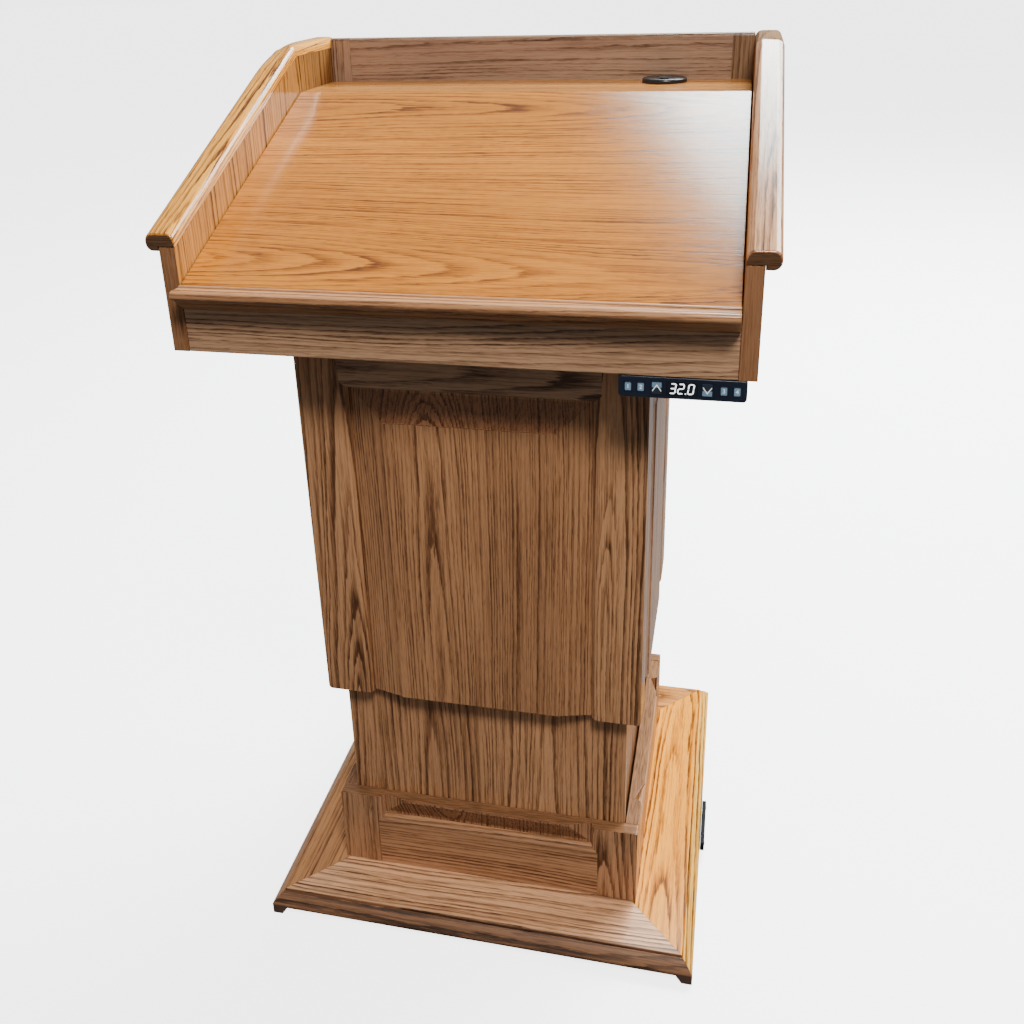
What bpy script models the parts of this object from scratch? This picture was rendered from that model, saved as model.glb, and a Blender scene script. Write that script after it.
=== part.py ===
"""Adjustable height lectern in oak.

A base of mitred boards carries a short panelled box and an inner sleeve. A lifting column inside the
sleeve raises the desk, which brings its own panelled box down over the sleeve. The speaker stands at
-Y, +X is to the right of the speaker, +Z is up and the floor is at z = 0. Lengths are metres.
"""
import math

import bmesh
import bpy
from mathutils import Matrix, Vector

# Fits
GAP = 0.0003                 # between pieces that touch
SLIDE_GAP = 0.0015           # between the upper box and the sleeve
TUBE_GAP = 0.0005            # between one column tube and the next
KEY_GAP = 0.0003             # round each key
CAP_GAP = 0.0004             # round the grommet's cap
MERGE = 0.00001              # points closer than this are one
FLAT_ANGLE = 0.5             # faces within this many degrees are one flat face

# Facets
ROUND_STEPS = 5              # a quarter round of the cap rails
EDGE_STEPS = 4               # the base's moulding
LIP_STEPS = 8                # the nosing's lip
STICKING_STEPS = 2           # the frames' inner edge
CORNER_STEPS = 3             # the keypad's corners
GROMMET_STEPS = 28
MOTOR_STEPS = 20
SPINDLE_STEPS = 12

# Base
BASE_W = 0.598               # over the moulded edge
BASE_D = 0.588
BASE_T = 0.022
BASE_BOARD_W = 0.110
BASE_EDGE_W = 0.0165         # width of the moulded edge
BASE_EDGE_STEP = 0.003       # drop of the quirk at the top of the moulding
BASE_QUIRK_W = 0.0015
BASE_EDGE_EASE = 0.0008      # eased top edge
BASE_EDGE_BULGE = 0.0016     # swell of the moulding
BASE_EDGE_FLAT = 0.005       # upright foot of the moulding
FOOT_H = 0.012               # floor to underside of the boards
FOOT_W = 0.022
FOOT_TOE_W = 0.014           # width of the foot on the floor
FOOT_LET_IN = 0.0125         # how far a foot is let into the corner
INLET_L = 0.090
INLET_H = 0.015
INLET_T = 0.006
INLET_Y = -0.029
INLET_SOCKET_L = 0.030
INLET_SOCKET_H = 0.009
INLET_SOCKET_D = 0.004

# Boxes and sleeve
BOX_W = 0.430
BOX_D = 0.408
WALL_T = 0.018
LOWER_BOX_H = 0.1225
UPPER_BOX_H = 0.520
SLEEVE_SHOWN = 0.1855        # sleeve seen between the boxes at the photographed height
SLEEVE_T = 0.012
SLEEVE_H = 0.630
SLEEVE_SIDE_INSET = 0.0025   # side panels of the sleeve lie back from its corners
STILE_W = 0.064
SIDE_STILE_W = 0.048
UPPER_RAIL_H = 0.066
LOWER_RAIL_H = 0.087
STICKING_W = 0.006           # rounded inner edge of stiles and rails
STICKING_PROFILE = 0.6       # shape of that edge, 0.5 is a quarter circle
PANEL_GROOVE = 0.0095        # depth of the panel's edge behind the frame's face
PANEL_MARGIN = 0.004         # flat strip round the panel's bevel
PANEL_BEVEL_W = 0.038
PANEL_PROUD = 0.001          # raised field stands proud of the frame
LOWER_FIELD_H = 0.003        # strip of raised field left under the cut of the lower box

# Lifting column
FOOT_PLATE_W = 0.200
FOOT_PLATE_D = 0.160
FOOT_PLATE_T = 0.006
TUBE_W = 0.080
TUBE_D = 0.060
TUBE_WALL = 0.0025
OUTER_TUBE_L = 0.575
MIDDLE_TUBE_L = 0.540
INNER_TUBE_L = 0.560
MIDDLE_TUBE_SHOWN = 0.107    # middle tube above the outer tube at the photographed height
SPINDLE_R = 0.007
SPINDLE_L = 0.500
HEAD_PLATE_W = 0.240
HEAD_PLATE_D = 0.180
HEAD_PLATE_T = 0.006
GEARBOX_L = 0.150
GEARBOX_D = 0.066
GEARBOX_T = 0.030
MOTOR_R = 0.028
MOTOR_L = 0.130
MOTOR_X = 0.075
CONTROL_W = 0.220
CONTROL_D = 0.100
CONTROL_T = 0.036
CONTROL_X = -0.120
CONTROL_Y = 0.080

# Desk top
TOP_W = 0.660
TOP_D = 0.550
BOARD_T = 0.019              # side panels, apron and back
FLOOR_T = 0.016
READ_T = 0.016
SHELF_T = 0.016
READ_FRONT_RISE = 0.081      # underside of the apron to the front of the reading surface
READ_RUN = 0.396             # level length of the sloping surface
READ_RISE = 0.162
READ_SIDE_GAP = 0.0012       # shadow gap beside the reading surface and the shelf
WING_FRONT_RISE = 0.0415     # side panels above the front of the reading surface
WING_BACK_RISE = 0.0485      # side panels above the shelf
BACK_RISE = 0.0615           # back above the shelf
BACK_STILE_W = 0.030
CAP_W = 0.0355
CAP_T = 0.0145
CAP_LIP = 0.0045             # outer lip that hangs beside the side panel
CAP_OUTER_R = 0.009
CAP_INNER_R = 0.005
NOSING_REACH = 0.028         # in front of the apron
NOSING_DROP = 0.0008         # top of the lip below the reading surface
NOSING_LIP_R = 0.0055
NOSING_LIP_ARC = (80, 250)   # degrees
NOSING_H = 0.029

# Cable grommet
GROMMET_X = 0.191
GROMMET_FLANGE_R = 0.031
GROMMET_FLANGE_T = 0.006
GROMMET_EASE = 0.002         # bevel of the flange
GROMMET_TUBE_R = 0.0265
GROMMET_BORE_R = 0.0235
GROMMET_SEAT_R = 0.0255      # recess that the cap turns in
GROMMET_SEAT_D = 0.003
GROMMET_BACK_GAP = 0.0015    # flange to the back panel
CABLE_SLOT_W = 0.014
CABLE_SLOT_D = 0.016

# Keypad
KEYPAD_W = 0.134
KEYPAD_H = 0.024
KEYPAD_D = 0.030
KEYPAD_R = 0.004             # corner radius of its face
KEYPAD_INSET = 0.0095        # right end of the keypad inside the desk's side
KEYPAD_PROUD = 0.001         # face in front of the apron
KEY_PROUD = 0.0008
KEY_TRAVEL = 0.0006
KEY_BODY = 0.0022            # part of a key inside the housing
KEY_SMALL = (0.0078, 0.0105)
KEY_LARGE = (0.0115, 0.0140)
KEY_X = {"1": -0.0565, "2": -0.0430, "up": -0.0262, "down": 0.0262, "3": 0.0432, "4": 0.0567}
WINDOW_W = 0.032
WINDOW_H = 0.0150
WINDOW_T = 0.0012

# Levels and faces worked out from the sizes above
BASE_TOP = FOOT_H + BASE_T
LOWER_TOP = BASE_TOP + LOWER_BOX_H
UPPER_BOTTOM = LOWER_TOP + SLEEVE_SHOWN
DESK_Z = UPPER_BOTTOM + UPPER_BOX_H
DESK_FRONT = -TOP_D / 2
SEAM_Y = DESK_FRONT + READ_RUN
READ_FRONT_Z = DESK_Z + READ_FRONT_RISE
SHELF_Z = READ_FRONT_Z + READ_RISE
BACK_FACE = TOP_D / 2 - BOARD_T
READ_SLOPE = math.atan2(READ_RISE, READ_RUN)
WING_FRONT_Z = READ_FRONT_Z + WING_FRONT_RISE
WING_BACK_Z = SHELF_Z + WING_BACK_RISE
WING_SLOPE = math.atan2(WING_BACK_Z - WING_FRONT_Z, READ_RUN)
INNER_HALF = TOP_W / 2 - BOARD_T

OAK = ("oak", (0.52, 0.30, 0.13), 0.35, 0.0)
OAK_DARK = ("oak_shaded", (0.38, 0.21, 0.09), 0.40, 0.0)
STEEL = ("grey_steel", (0.45, 0.46, 0.48), 0.45, 1.0)
BLACK = ("black_plastic", (0.02, 0.02, 0.025), 0.45, 0.0)
NAVY = ("navy_plastic", (0.012, 0.020, 0.045), 0.30, 0.0)
KEY_BLUE = ("pale_blue_keys", (0.24, 0.34, 0.46), 0.45, 0.0)
GLASS = ("dark_window", (0.01, 0.012, 0.02), 0.10, 0.0)
BROWN = ("brown_feet", (0.07, 0.04, 0.03), 0.55, 0.0)


def clear_scene():
    """Remove every object of the scene."""
    for obj in list(bpy.data.objects):
        bpy.data.objects.remove(obj)


def collection(name):
    """Make a collection in the scene."""
    made = bpy.data.collections.new(name)
    bpy.context.scene.collection.children.link(made)
    return made


def empty(name):
    """An empty at the origin that carries one moving group."""
    made = bpy.data.objects.new(name, None)
    PARTS.objects.link(made)
    return made


def finish_material(finish, name):
    """A Principled material in one of the finishes, for one piece."""
    kind, colour, roughness, metallic = finish
    made = bpy.data.materials.new(f"{kind}_{name}")
    made.use_nodes = True
    shader = made.node_tree.nodes["Principled BSDF"]
    shader.inputs["Base Color"].default_value = (*colour, 1.0)
    shader.inputs["Roughness"].default_value = roughness
    shader.inputs["Metallic"].default_value = metallic
    return made


def place(name, mesh, finish, carrier, location=(0, 0, 0), turn=0.0):
    """Add a mesh to the model as one named piece."""
    mesh.materials.clear()
    mesh.materials.append(finish_material(finish, name))
    obj = bpy.data.objects.new(name, mesh)
    obj.location = location
    obj.rotation_euler = (0, 0, turn)
    obj.parent = carrier
    PARTS.objects.link(obj)
    return obj


def mesh_from(bm, name):
    """Turn a bmesh into a mesh with its faces pointing out."""
    bmesh.ops.recalc_face_normals(bm, faces=bm.faces)
    mesh = bpy.data.meshes.new(name)
    bm.to_mesh(mesh)
    bm.free()
    return mesh


def add_box(bm, low, high):
    """Add a box between two corners to a bmesh."""
    low = Vector(low)
    high = Vector(high)
    size = high - low
    matrix = Matrix.Translation((low + high) / 2) @ Matrix.Diagonal((*size, 1.0))
    return bmesh.ops.create_cube(bm, size=1.0, matrix=matrix)["verts"]


def box_mesh(low, high, name):
    """A box between two corners as a mesh."""
    bm = bmesh.new()
    add_box(bm, low, high)
    return mesh_from(bm, name)


def box(name, low, high, finish, carrier):
    """A plain board or block between two corners, with its origin at its middle."""
    centre = (Vector(low) + Vector(high)) / 2
    mesh = box_mesh(Vector(low) - centre, Vector(high) - centre, name)
    return place(name, mesh, finish, carrier, centre)


def add_stepped(bm, low, high, step, face_low, face_high, face_y):
    """Add a slab whose front face is drawn forward from y = step to face_y and resized.

    The slab runs from low to high in x and z and from step to WALL_T in y. The drawn face runs from
    face_low to face_high in x and z.
    """
    verts = add_box(bm, (low[0], step, low[1]), (high[0], WALL_T, high[1]))
    own = {face for vert in verts for face in vert.link_faces}
    front = min(own, key=lambda face: face.calc_center_median().y)
    drawn = bmesh.ops.extrude_discrete_faces(bm, faces=[front])["faces"][0]
    middle = drawn.calc_center_median()
    for vert in drawn.verts:
        x = face_low[0] if vert.co.x < middle.x else face_high[0]
        z = face_low[1] if vert.co.z < middle.z else face_high[1]
        vert.co = (x, face_y, z)


def outline_mesh(points, thickness, name):
    """A flat outline in local x and y, extruded to both sides of z = 0."""
    curve = bpy.data.curves.new(name, "CURVE")
    curve.dimensions = "2D"
    curve.fill_mode = "BOTH"
    curve.extrude = thickness / 2
    spline = curve.splines.new("POLY")
    spline.points.add(len(points) - 1)
    for point, (x, y) in zip(spline.points, points):
        point.co = (x, y, 0, 1)
    spline.use_cyclic_u = True
    source = bpy.data.objects.new(name, curve)
    CUTTERS.objects.link(source)
    bpy.context.view_layer.update()
    solid = source.evaluated_get(bpy.context.evaluated_depsgraph_get())
    mesh = bpy.data.meshes.new_from_object(solid)
    bpy.data.objects.remove(source)
    bm = bmesh.new()
    bm.from_mesh(mesh)
    bmesh.ops.remove_doubles(bm, verts=bm.verts, dist=MERGE)
    bm.to_mesh(mesh)
    bm.free()
    return mesh


# Turns an outline drawn in (y, z) so that its thickness lies along x
ACROSS = Matrix(((0, 0, 1, 0), (1, 0, 0, 0), (0, 1, 0, 0), (0, 0, 0, 1)))
# Turns an outline drawn in (x, z) so that its thickness lies along y
UPRIGHT = Matrix(((1, 0, 0, 0), (0, 0, -1, 0), (0, 1, 0, 0), (0, 0, 0, 1)))


def across(name, outline, x_low, x_high, finish, carrier):
    """An outline in (y, z) that runs across the lectern from x_low to x_high."""
    mesh = outline_mesh(outline, x_high - x_low, name)
    mesh.transform(ACROSS)
    return place(name, mesh, finish, carrier, ((x_low + x_high) / 2, 0, 0))


def turned_mesh(profile, name):
    """A solid of revolution about z, from a profile of (radius, height) run top to bottom outside."""
    bm = bmesh.new()
    verts = [bm.verts.new((radius, 0, height)) for radius, height in profile]
    for start, end in zip(verts, verts[1:] + verts[:1]):
        bm.edges.new((start, end))
    mesh = bpy.data.meshes.new(name)
    bm.to_mesh(mesh)
    bm.free()
    source = bpy.data.objects.new(name, mesh)
    CUTTERS.objects.link(source)
    screw = source.modifiers.new("turn", "SCREW")
    screw.steps = GROMMET_STEPS
    screw.render_steps = GROMMET_STEPS
    screw.use_merge_vertices = True
    screw.merge_threshold = MERGE
    bpy.context.view_layer.update()
    solid = source.evaluated_get(bpy.context.evaluated_depsgraph_get())
    made = bpy.data.meshes.new_from_object(solid)
    bpy.data.objects.remove(source)
    bm = bmesh.new()
    bm.from_mesh(made)
    bmesh.ops.remove_doubles(bm, verts=bm.verts, dist=MERGE)
    bmesh.ops.recalc_face_normals(bm, faces=bm.faces)
    bm.to_mesh(made)
    bm.free()
    return made


def add_cylinder(bm, radius, low, high, segments):
    """Add an upright cylinder about z to a bmesh."""
    matrix = Matrix.Translation((0, 0, (low + high) / 2))
    bmesh.ops.create_cone(bm, cap_ends=True, segments=segments, radius1=radius, radius2=radius,
                          depth=high - low, matrix=matrix)


def cylinder(name, radius, low, high, axis_xy, finish, carrier, segments):
    """An upright cylinder with its origin on its axis."""
    bm = bmesh.new()
    add_cylinder(bm, radius, low, high, segments)
    return place(name, mesh_from(bm, name), finish, carrier, (*axis_xy, 0))


def combine(target, operation, mesh, location=(0, 0, 0)):
    """Join a mesh to a piece or cut it out, with a Boolean modifier."""
    tool = bpy.data.objects.new(f"tool_{target.name}", mesh)
    tool.location = location
    tool.hide_render = True
    tool.display_type = "WIRE"
    CUTTERS.objects.link(tool)
    modifier = target.modifiers.new(operation.lower(), "BOOLEAN")
    modifier.operation = operation
    modifier.object = tool


def cut(target, mesh, location=(0, 0, 0)):
    """Cut a mesh out of a piece."""
    combine(target, "DIFFERENCE", mesh, location)


def arc(centre, radius, start, end, steps):
    """Points of an arc from one angle to another, in degrees."""
    points = []
    for step in range(steps + 1):
        angle = math.radians(start + (end - start) * step / steps)
        points.append((centre[0] + radius * math.cos(angle), centre[1] + radius * math.sin(angle)))
    return points


def base_edge_profile():
    """Cross-section of a base board in (outward distance from the outer edge, z)."""
    cove = BASE_EDGE_W - 2 * BASE_QUIRK_W
    foot = FOOT_H + BASE_EDGE_FLAT
    drop = BASE_TOP - BASE_EDGE_STEP - foot
    points = [(-BASE_BOARD_W, FOOT_H), (0, FOOT_H), (0, foot)]
    for step in range(1, EDGE_STEPS + 1):
        share = step / EDGE_STEPS
        bulge = math.sin(math.pi * share) * BASE_EDGE_BULGE
        points.append((-cove * share, foot + drop * share + bulge))
    points.append((-BASE_EDGE_W + BASE_QUIRK_W, BASE_TOP - BASE_EDGE_EASE))
    points.append((-BASE_EDGE_W, BASE_TOP))
    points.append((-BASE_BOARD_W, BASE_TOP))
    return points


def base_board(name, half_reach, half_length, turn, carrier):
    """One board of the base, with mitred ends and a moulded outer edge."""
    profile = [(half_reach + u, z) for u, z in base_edge_profile()]
    mesh = outline_mesh(profile, 2 * half_length, name)
    mesh.transform(ACROSS)
    for vert in mesh.vertices:
        end = half_length - (half_reach - vert.co.y) - GAP / 2
        vert.co.x = math.copysign(end, vert.co.x)
    return place(name, mesh, OAK, carrier, turn=turn)


def build_foot(name, sign_x, sign_y, carrier):
    """A tapered foot in one corner, let into the underside of the base."""
    bm = bmesh.new()
    outer = (sign_x * BASE_W / 2, sign_y * BASE_D / 2)
    inner = (sign_x * (BASE_W / 2 - FOOT_W), sign_y * (BASE_D / 2 - FOOT_W))
    toe = (sign_x * (BASE_W / 2 - FOOT_TOE_W), sign_y * (BASE_D / 2 - FOOT_TOE_W))
    low = (min(outer[0], inner[0]), min(outer[1], inner[1]), FOOT_H - GAP)
    high = (max(outer[0], inner[0]), max(outer[1], inner[1]), FOOT_H + FOOT_LET_IN)
    add_box(bm, low, high)
    sole = min(bm.faces, key=lambda face: face.calc_center_median().z)
    drawn = bmesh.ops.extrude_discrete_faces(bm, faces=[sole])["faces"][0]
    for vert in drawn.verts:
        x = toe[0] if abs(vert.co.x - inner[0]) < GAP else outer[0]
        y = toe[1] if abs(vert.co.y - inner[1]) < GAP else outer[1]
        vert.co = (x, y, 0)
    place(name, mesh_from(bm, name), BROWN, carrier)


def foot_seats():
    """The corner rebates that the feet are let into, as one cutter mesh."""
    bm = bmesh.new()
    spare = FOOT_W
    for sign_x in (-1, 1):
        for sign_y in (-1, 1):
            xs = sorted((sign_x * (BASE_W / 2 - FOOT_W - GAP), sign_x * (BASE_W / 2 + spare)))
            ys = sorted((sign_y * (BASE_D / 2 - FOOT_W - GAP), sign_y * (BASE_D / 2 + spare)))
            add_box(bm, (xs[0], ys[0], 0), (xs[1], ys[1], FOOT_H + FOOT_LET_IN + GAP))
    return mesh_from(bm, "foot_seats")


def build_base(carrier):
    """Mitred boards, deck, feet and power inlet."""
    boards = (
        ("base_front_board", BASE_D / 2, BASE_W / 2, math.pi),
        ("base_rear_board", BASE_D / 2, BASE_W / 2, 0.0),
        ("base_left_board", BASE_W / 2, BASE_D / 2, math.pi / 2),
        ("base_right_board", BASE_W / 2, BASE_D / 2, -math.pi / 2),
    )
    for name, reach, half_length, turn in boards:
        cut_board = base_board(name, reach, half_length, turn, carrier)
        cut(cut_board, foot_seats())
    deck_x = BASE_W / 2 - BASE_BOARD_W - GAP
    deck_y = BASE_D / 2 - BASE_BOARD_W - GAP
    box("base_deck", (-deck_x, -deck_y, FOOT_H), (deck_x, deck_y, BASE_TOP), OAK_DARK, carrier)
    for end, sign_y in (("front", -1), ("rear", 1)):
        for side, sign_x in (("left", -1), ("right", 1)):
            build_foot(f"foot_{end}_{side}", sign_x, sign_y, carrier)
    build_inlet(carrier)


def build_inlet(carrier):
    """The power inlet on the right edge of the base: a plate with a socket."""
    back = BASE_W / 2 + GAP
    front = back + INLET_T
    half = INLET_L / 2
    inlet = box("power_inlet", (back, INLET_Y - half, FOOT_H),
                (front, INLET_Y + half, FOOT_H + INLET_H), BLACK, carrier)
    half = INLET_SOCKET_L / 2
    low = FOOT_H + (INLET_H - INLET_SOCKET_H) / 2
    cut(inlet, box_mesh((front - INLET_SOCKET_D, INLET_Y - half, low),
                        (front + INLET_T, INLET_Y + half, low + INLET_SOCKET_H), "socket"))


# Turn of a wall from the front to its own side of a box
WALL_TURN = {"front": 0.0, "rear": math.pi, "right": math.pi / 2, "left": -math.pi / 2}


class Wall:
    """One wall of a box: a frame of two stiles and a rail round a raised panel, cut off at one end.

    The wall is drawn with its face at y = 0 towards -Y and is then turned to its side of the box.
    """

    def __init__(self, box_name, side, low, high, rail_at_top, carrier):
        self.name = f"{box_name}_{side}"
        self.carrier = carrier
        flank = side in ("left", "right")
        self.half = BOX_D / 2 - WALL_T - GAP if flank else BOX_W / 2
        self.opening = self.half - (SIDE_STILE_W if flank else STILE_W)
        self.reach = BOX_W / 2 if flank else BOX_D / 2
        self.turn = WALL_TURN[side]
        self.cut_z = low if rail_at_top else high
        self.far_z = high if rail_at_top else low
        self.away = -1 if rail_at_top else 1
        self.rail_edge = high - UPPER_RAIL_H if rail_at_top else low + LOWER_RAIL_H

    def frame_mesh(self):
        """Two stiles and a rail, glued up, with a bevel round the panel's opening."""
        outline = [(-self.half, self.cut_z), (-self.opening, self.cut_z),
                   (-self.opening, self.rail_edge), (self.opening, self.rail_edge),
                   (self.opening, self.cut_z), (self.half, self.cut_z),
                   (self.half, self.far_z), (-self.half, self.far_z)]
        mesh = outline_mesh(outline, WALL_T, f"{self.name}_frame")
        mesh.transform(Matrix.Translation((0, WALL_T / 2, 0)) @ UPRIGHT)
        bm = bmesh.new()
        bm.from_mesh(mesh)
        bmesh.ops.dissolve_limit(bm, angle_limit=math.radians(FLAT_ANGLE), verts=bm.verts, edges=bm.edges)
        limit = self.opening + GAP
        inner = [edge for edge in bm.edges
                 if all(vert.co.y < GAP and abs(vert.co.x) < limit for vert in edge.verts)]
        bmesh.ops.bevel(bm, geom=inner, offset=STICKING_W, segments=STICKING_STEPS,
                        profile=STICKING_PROFILE, affect="EDGES")
        bm.to_mesh(mesh)
        bm.free()
        return mesh

    def panel_mesh(self):
        """The raised panel, with its bevel on three sides."""
        half = self.opening - GAP
        length = abs(self.cut_z - self.rail_edge)
        field = half - PANEL_MARGIN - PANEL_BEVEL_W
        start = min(PANEL_MARGIN + PANEL_BEVEL_W, length - LOWER_FIELD_H)
        zs = sorted((self.rail_edge + self.away * GAP, self.cut_z))
        face_zs = sorted((self.rail_edge + self.away * start, self.cut_z))
        bm = bmesh.new()
        add_stepped(bm, (-half, zs[0]), (half, zs[1]), PANEL_GROOVE,
                    (-field, face_zs[0]), (field, face_zs[1]), -PANEL_PROUD)
        return mesh_from(bm, f"{self.name}_panel")

    def build(self):
        """Make the frame and the panel, and turn them to their side of the box."""
        location = Matrix.Rotation(self.turn, 3, "Z") @ Vector((0, -self.reach, 0))
        place(f"{self.name}_frame", self.frame_mesh(), OAK, self.carrier, location, self.turn)
        place(f"{self.name}_panel", self.panel_mesh(), OAK, self.carrier, location, self.turn)


def build_box(box_name, low, high, rail_at_top, carrier):
    """The four walls of the lower or upper box."""
    for side in ("front", "rear", "left", "right"):
        Wall(box_name, side, low, high, rail_at_top, carrier).build()


def build_sleeve(carrier):
    """The inner sleeve that the upper box slides over."""
    half_x = BOX_W / 2 - WALL_T - SLIDE_GAP
    half_y = BOX_D / 2 - WALL_T - SLIDE_GAP
    low = BASE_TOP + GAP
    high = BASE_TOP + SLEEVE_H
    box("sleeve_front", (-half_x, -half_y, low), (half_x, -half_y + SLEEVE_T, high), OAK, carrier)
    box("sleeve_rear", (-half_x, half_y - SLEEVE_T, low), (half_x, half_y, high), OAK, carrier)
    side_y = half_y - SLEEVE_T - GAP
    outer = half_x - SLEEVE_SIDE_INSET
    box("sleeve_left", (-outer, -side_y, low), (-outer + SLEEVE_T, side_y, high), OAK, carrier)
    box("sleeve_right", (outer - SLEEVE_T, -side_y, low), (outer, side_y, high), OAK, carrier)


def tube(name, width, depth, low, high, finish, carrier):
    """A rectangular tube that is open at both ends."""
    outer = box(name, (-width / 2, -depth / 2, low), (width / 2, depth / 2, high), finish, carrier)
    spare = TUBE_WALL
    cut(outer, box_mesh((-width / 2 + TUBE_WALL, -depth / 2 + TUBE_WALL, low - spare),
                        (width / 2 - TUBE_WALL, depth / 2 - TUBE_WALL, high + spare), "bore"))


def build_column(base, middle, desk):
    """Foot plate, three tubes, gearbox, motor, spindle and head plate."""
    plate_top = BASE_TOP + GAP + FOOT_PLATE_T
    box("column_foot_plate", (-FOOT_PLATE_W / 2, -FOOT_PLATE_D / 2, BASE_TOP + GAP),
        (FOOT_PLATE_W / 2, FOOT_PLATE_D / 2, plate_top), STEEL, base)
    outer_top = plate_top + GAP + OUTER_TUBE_L
    step = 2 * (TUBE_WALL + TUBE_GAP)
    tube("column_outer_tube", TUBE_W, TUBE_D, plate_top + GAP, outer_top, STEEL, base)
    middle_top = outer_top + MIDDLE_TUBE_SHOWN
    tube("column_middle_tube", TUBE_W - step, TUBE_D - step, middle_top - MIDDLE_TUBE_L, middle_top,
         STEEL, middle)
    head_low = DESK_Z - GAP - HEAD_PLATE_T
    box("column_head_plate", (-HEAD_PLATE_W / 2, -HEAD_PLATE_D / 2, head_low),
        (HEAD_PLATE_W / 2, HEAD_PLATE_D / 2, DESK_Z - GAP), STEEL, desk)
    gear_top = head_low - GAP
    gear_low = gear_top - GEARBOX_T
    gear = box("gear_motor", (MOTOR_X + MOTOR_R - GEARBOX_L, -GEARBOX_D / 2, gear_low),
               (MOTOR_X + MOTOR_R, GEARBOX_D / 2, gear_top), BLACK, desk)
    motor = bmesh.new()
    add_cylinder(motor, MOTOR_R, gear_low - MOTOR_L, gear_low + GEARBOX_T / 2, MOTOR_STEPS)
    combine(gear, "UNION", mesh_from(motor, "motor"), (MOTOR_X, 0, 0))
    hang = gear_low - GAP
    tube("column_inner_tube", TUBE_W - 2 * step, TUBE_D - 2 * step, hang - INNER_TUBE_L, hang,
         STEEL, desk)
    cylinder("spindle", SPINDLE_R, hang - SPINDLE_L, hang, (0, 0), STEEL, desk, SPINDLE_STEPS)


def side_outline():
    """A side panel of the desk in (y, z)."""
    back = TOP_D / 2
    return [(DESK_FRONT, DESK_Z), (back, DESK_Z), (back, WING_BACK_Z), (SEAM_Y, WING_BACK_Z),
            (DESK_FRONT, WING_FRONT_Z)]


def cap_section():
    """Cross-section of a cap rail in (distance out from the desk's inner face, height)."""
    lip = BOARD_T + GAP
    round_x = CAP_W - CAP_OUTER_R
    points = [(0, 0), (lip, 0), (lip, -CAP_LIP)]
    points += arc((round_x, CAP_OUTER_R - CAP_LIP), CAP_OUTER_R, 270, 360, ROUND_STEPS)
    points += arc((round_x, CAP_T - CAP_OUTER_R), CAP_OUTER_R, 0, 90, ROUND_STEPS)
    points += arc((CAP_INNER_R, CAP_T - CAP_INNER_R), CAP_INNER_R, 90, 180, ROUND_STEPS)
    return points


def build_cap(name, side, carrier):
    """A cap rail along the top of a side panel: sloping from the front, then level to the back."""
    front = WING_FRONT_Z + GAP
    level = WING_BACK_Z + GAP
    bm = bmesh.new()
    rings = [[], [], []]
    for out, height in cap_section():
        x = side * (INNER_HALF + out)
        bend = SEAM_Y - height * math.tan(WING_SLOPE / 2)
        rings[0].append(bm.verts.new((x, DESK_FRONT, front + height / math.cos(WING_SLOPE))))
        rings[1].append(bm.verts.new((x, bend, level + height)))
        rings[2].append(bm.verts.new((x, TOP_D / 2, level + height)))
    for near, far in zip(rings, rings[1:]):
        for index in range(len(near)):
            bm.faces.new((near[index - 1], near[index], far[index], far[index - 1]))
    bm.faces.new(rings[0])
    bm.faces.new(rings[-1])
    place(name, mesh_from(bm, name), OAK, carrier)


def nosing_outline():
    """The nosing in (y, z): a round lip over a face that runs back to the apron."""
    back = DESK_FRONT - GAP
    front = DESK_FRONT - NOSING_REACH
    lip_y = front + NOSING_LIP_R
    lip_z = READ_FRONT_Z - NOSING_LIP_R - NOSING_DROP
    points = [(back, READ_FRONT_Z)]
    points += arc((lip_y, lip_z), NOSING_LIP_R, *NOSING_LIP_ARC, LIP_STEPS)
    points.append((back, READ_FRONT_Z - NOSING_H))
    return points


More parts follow.
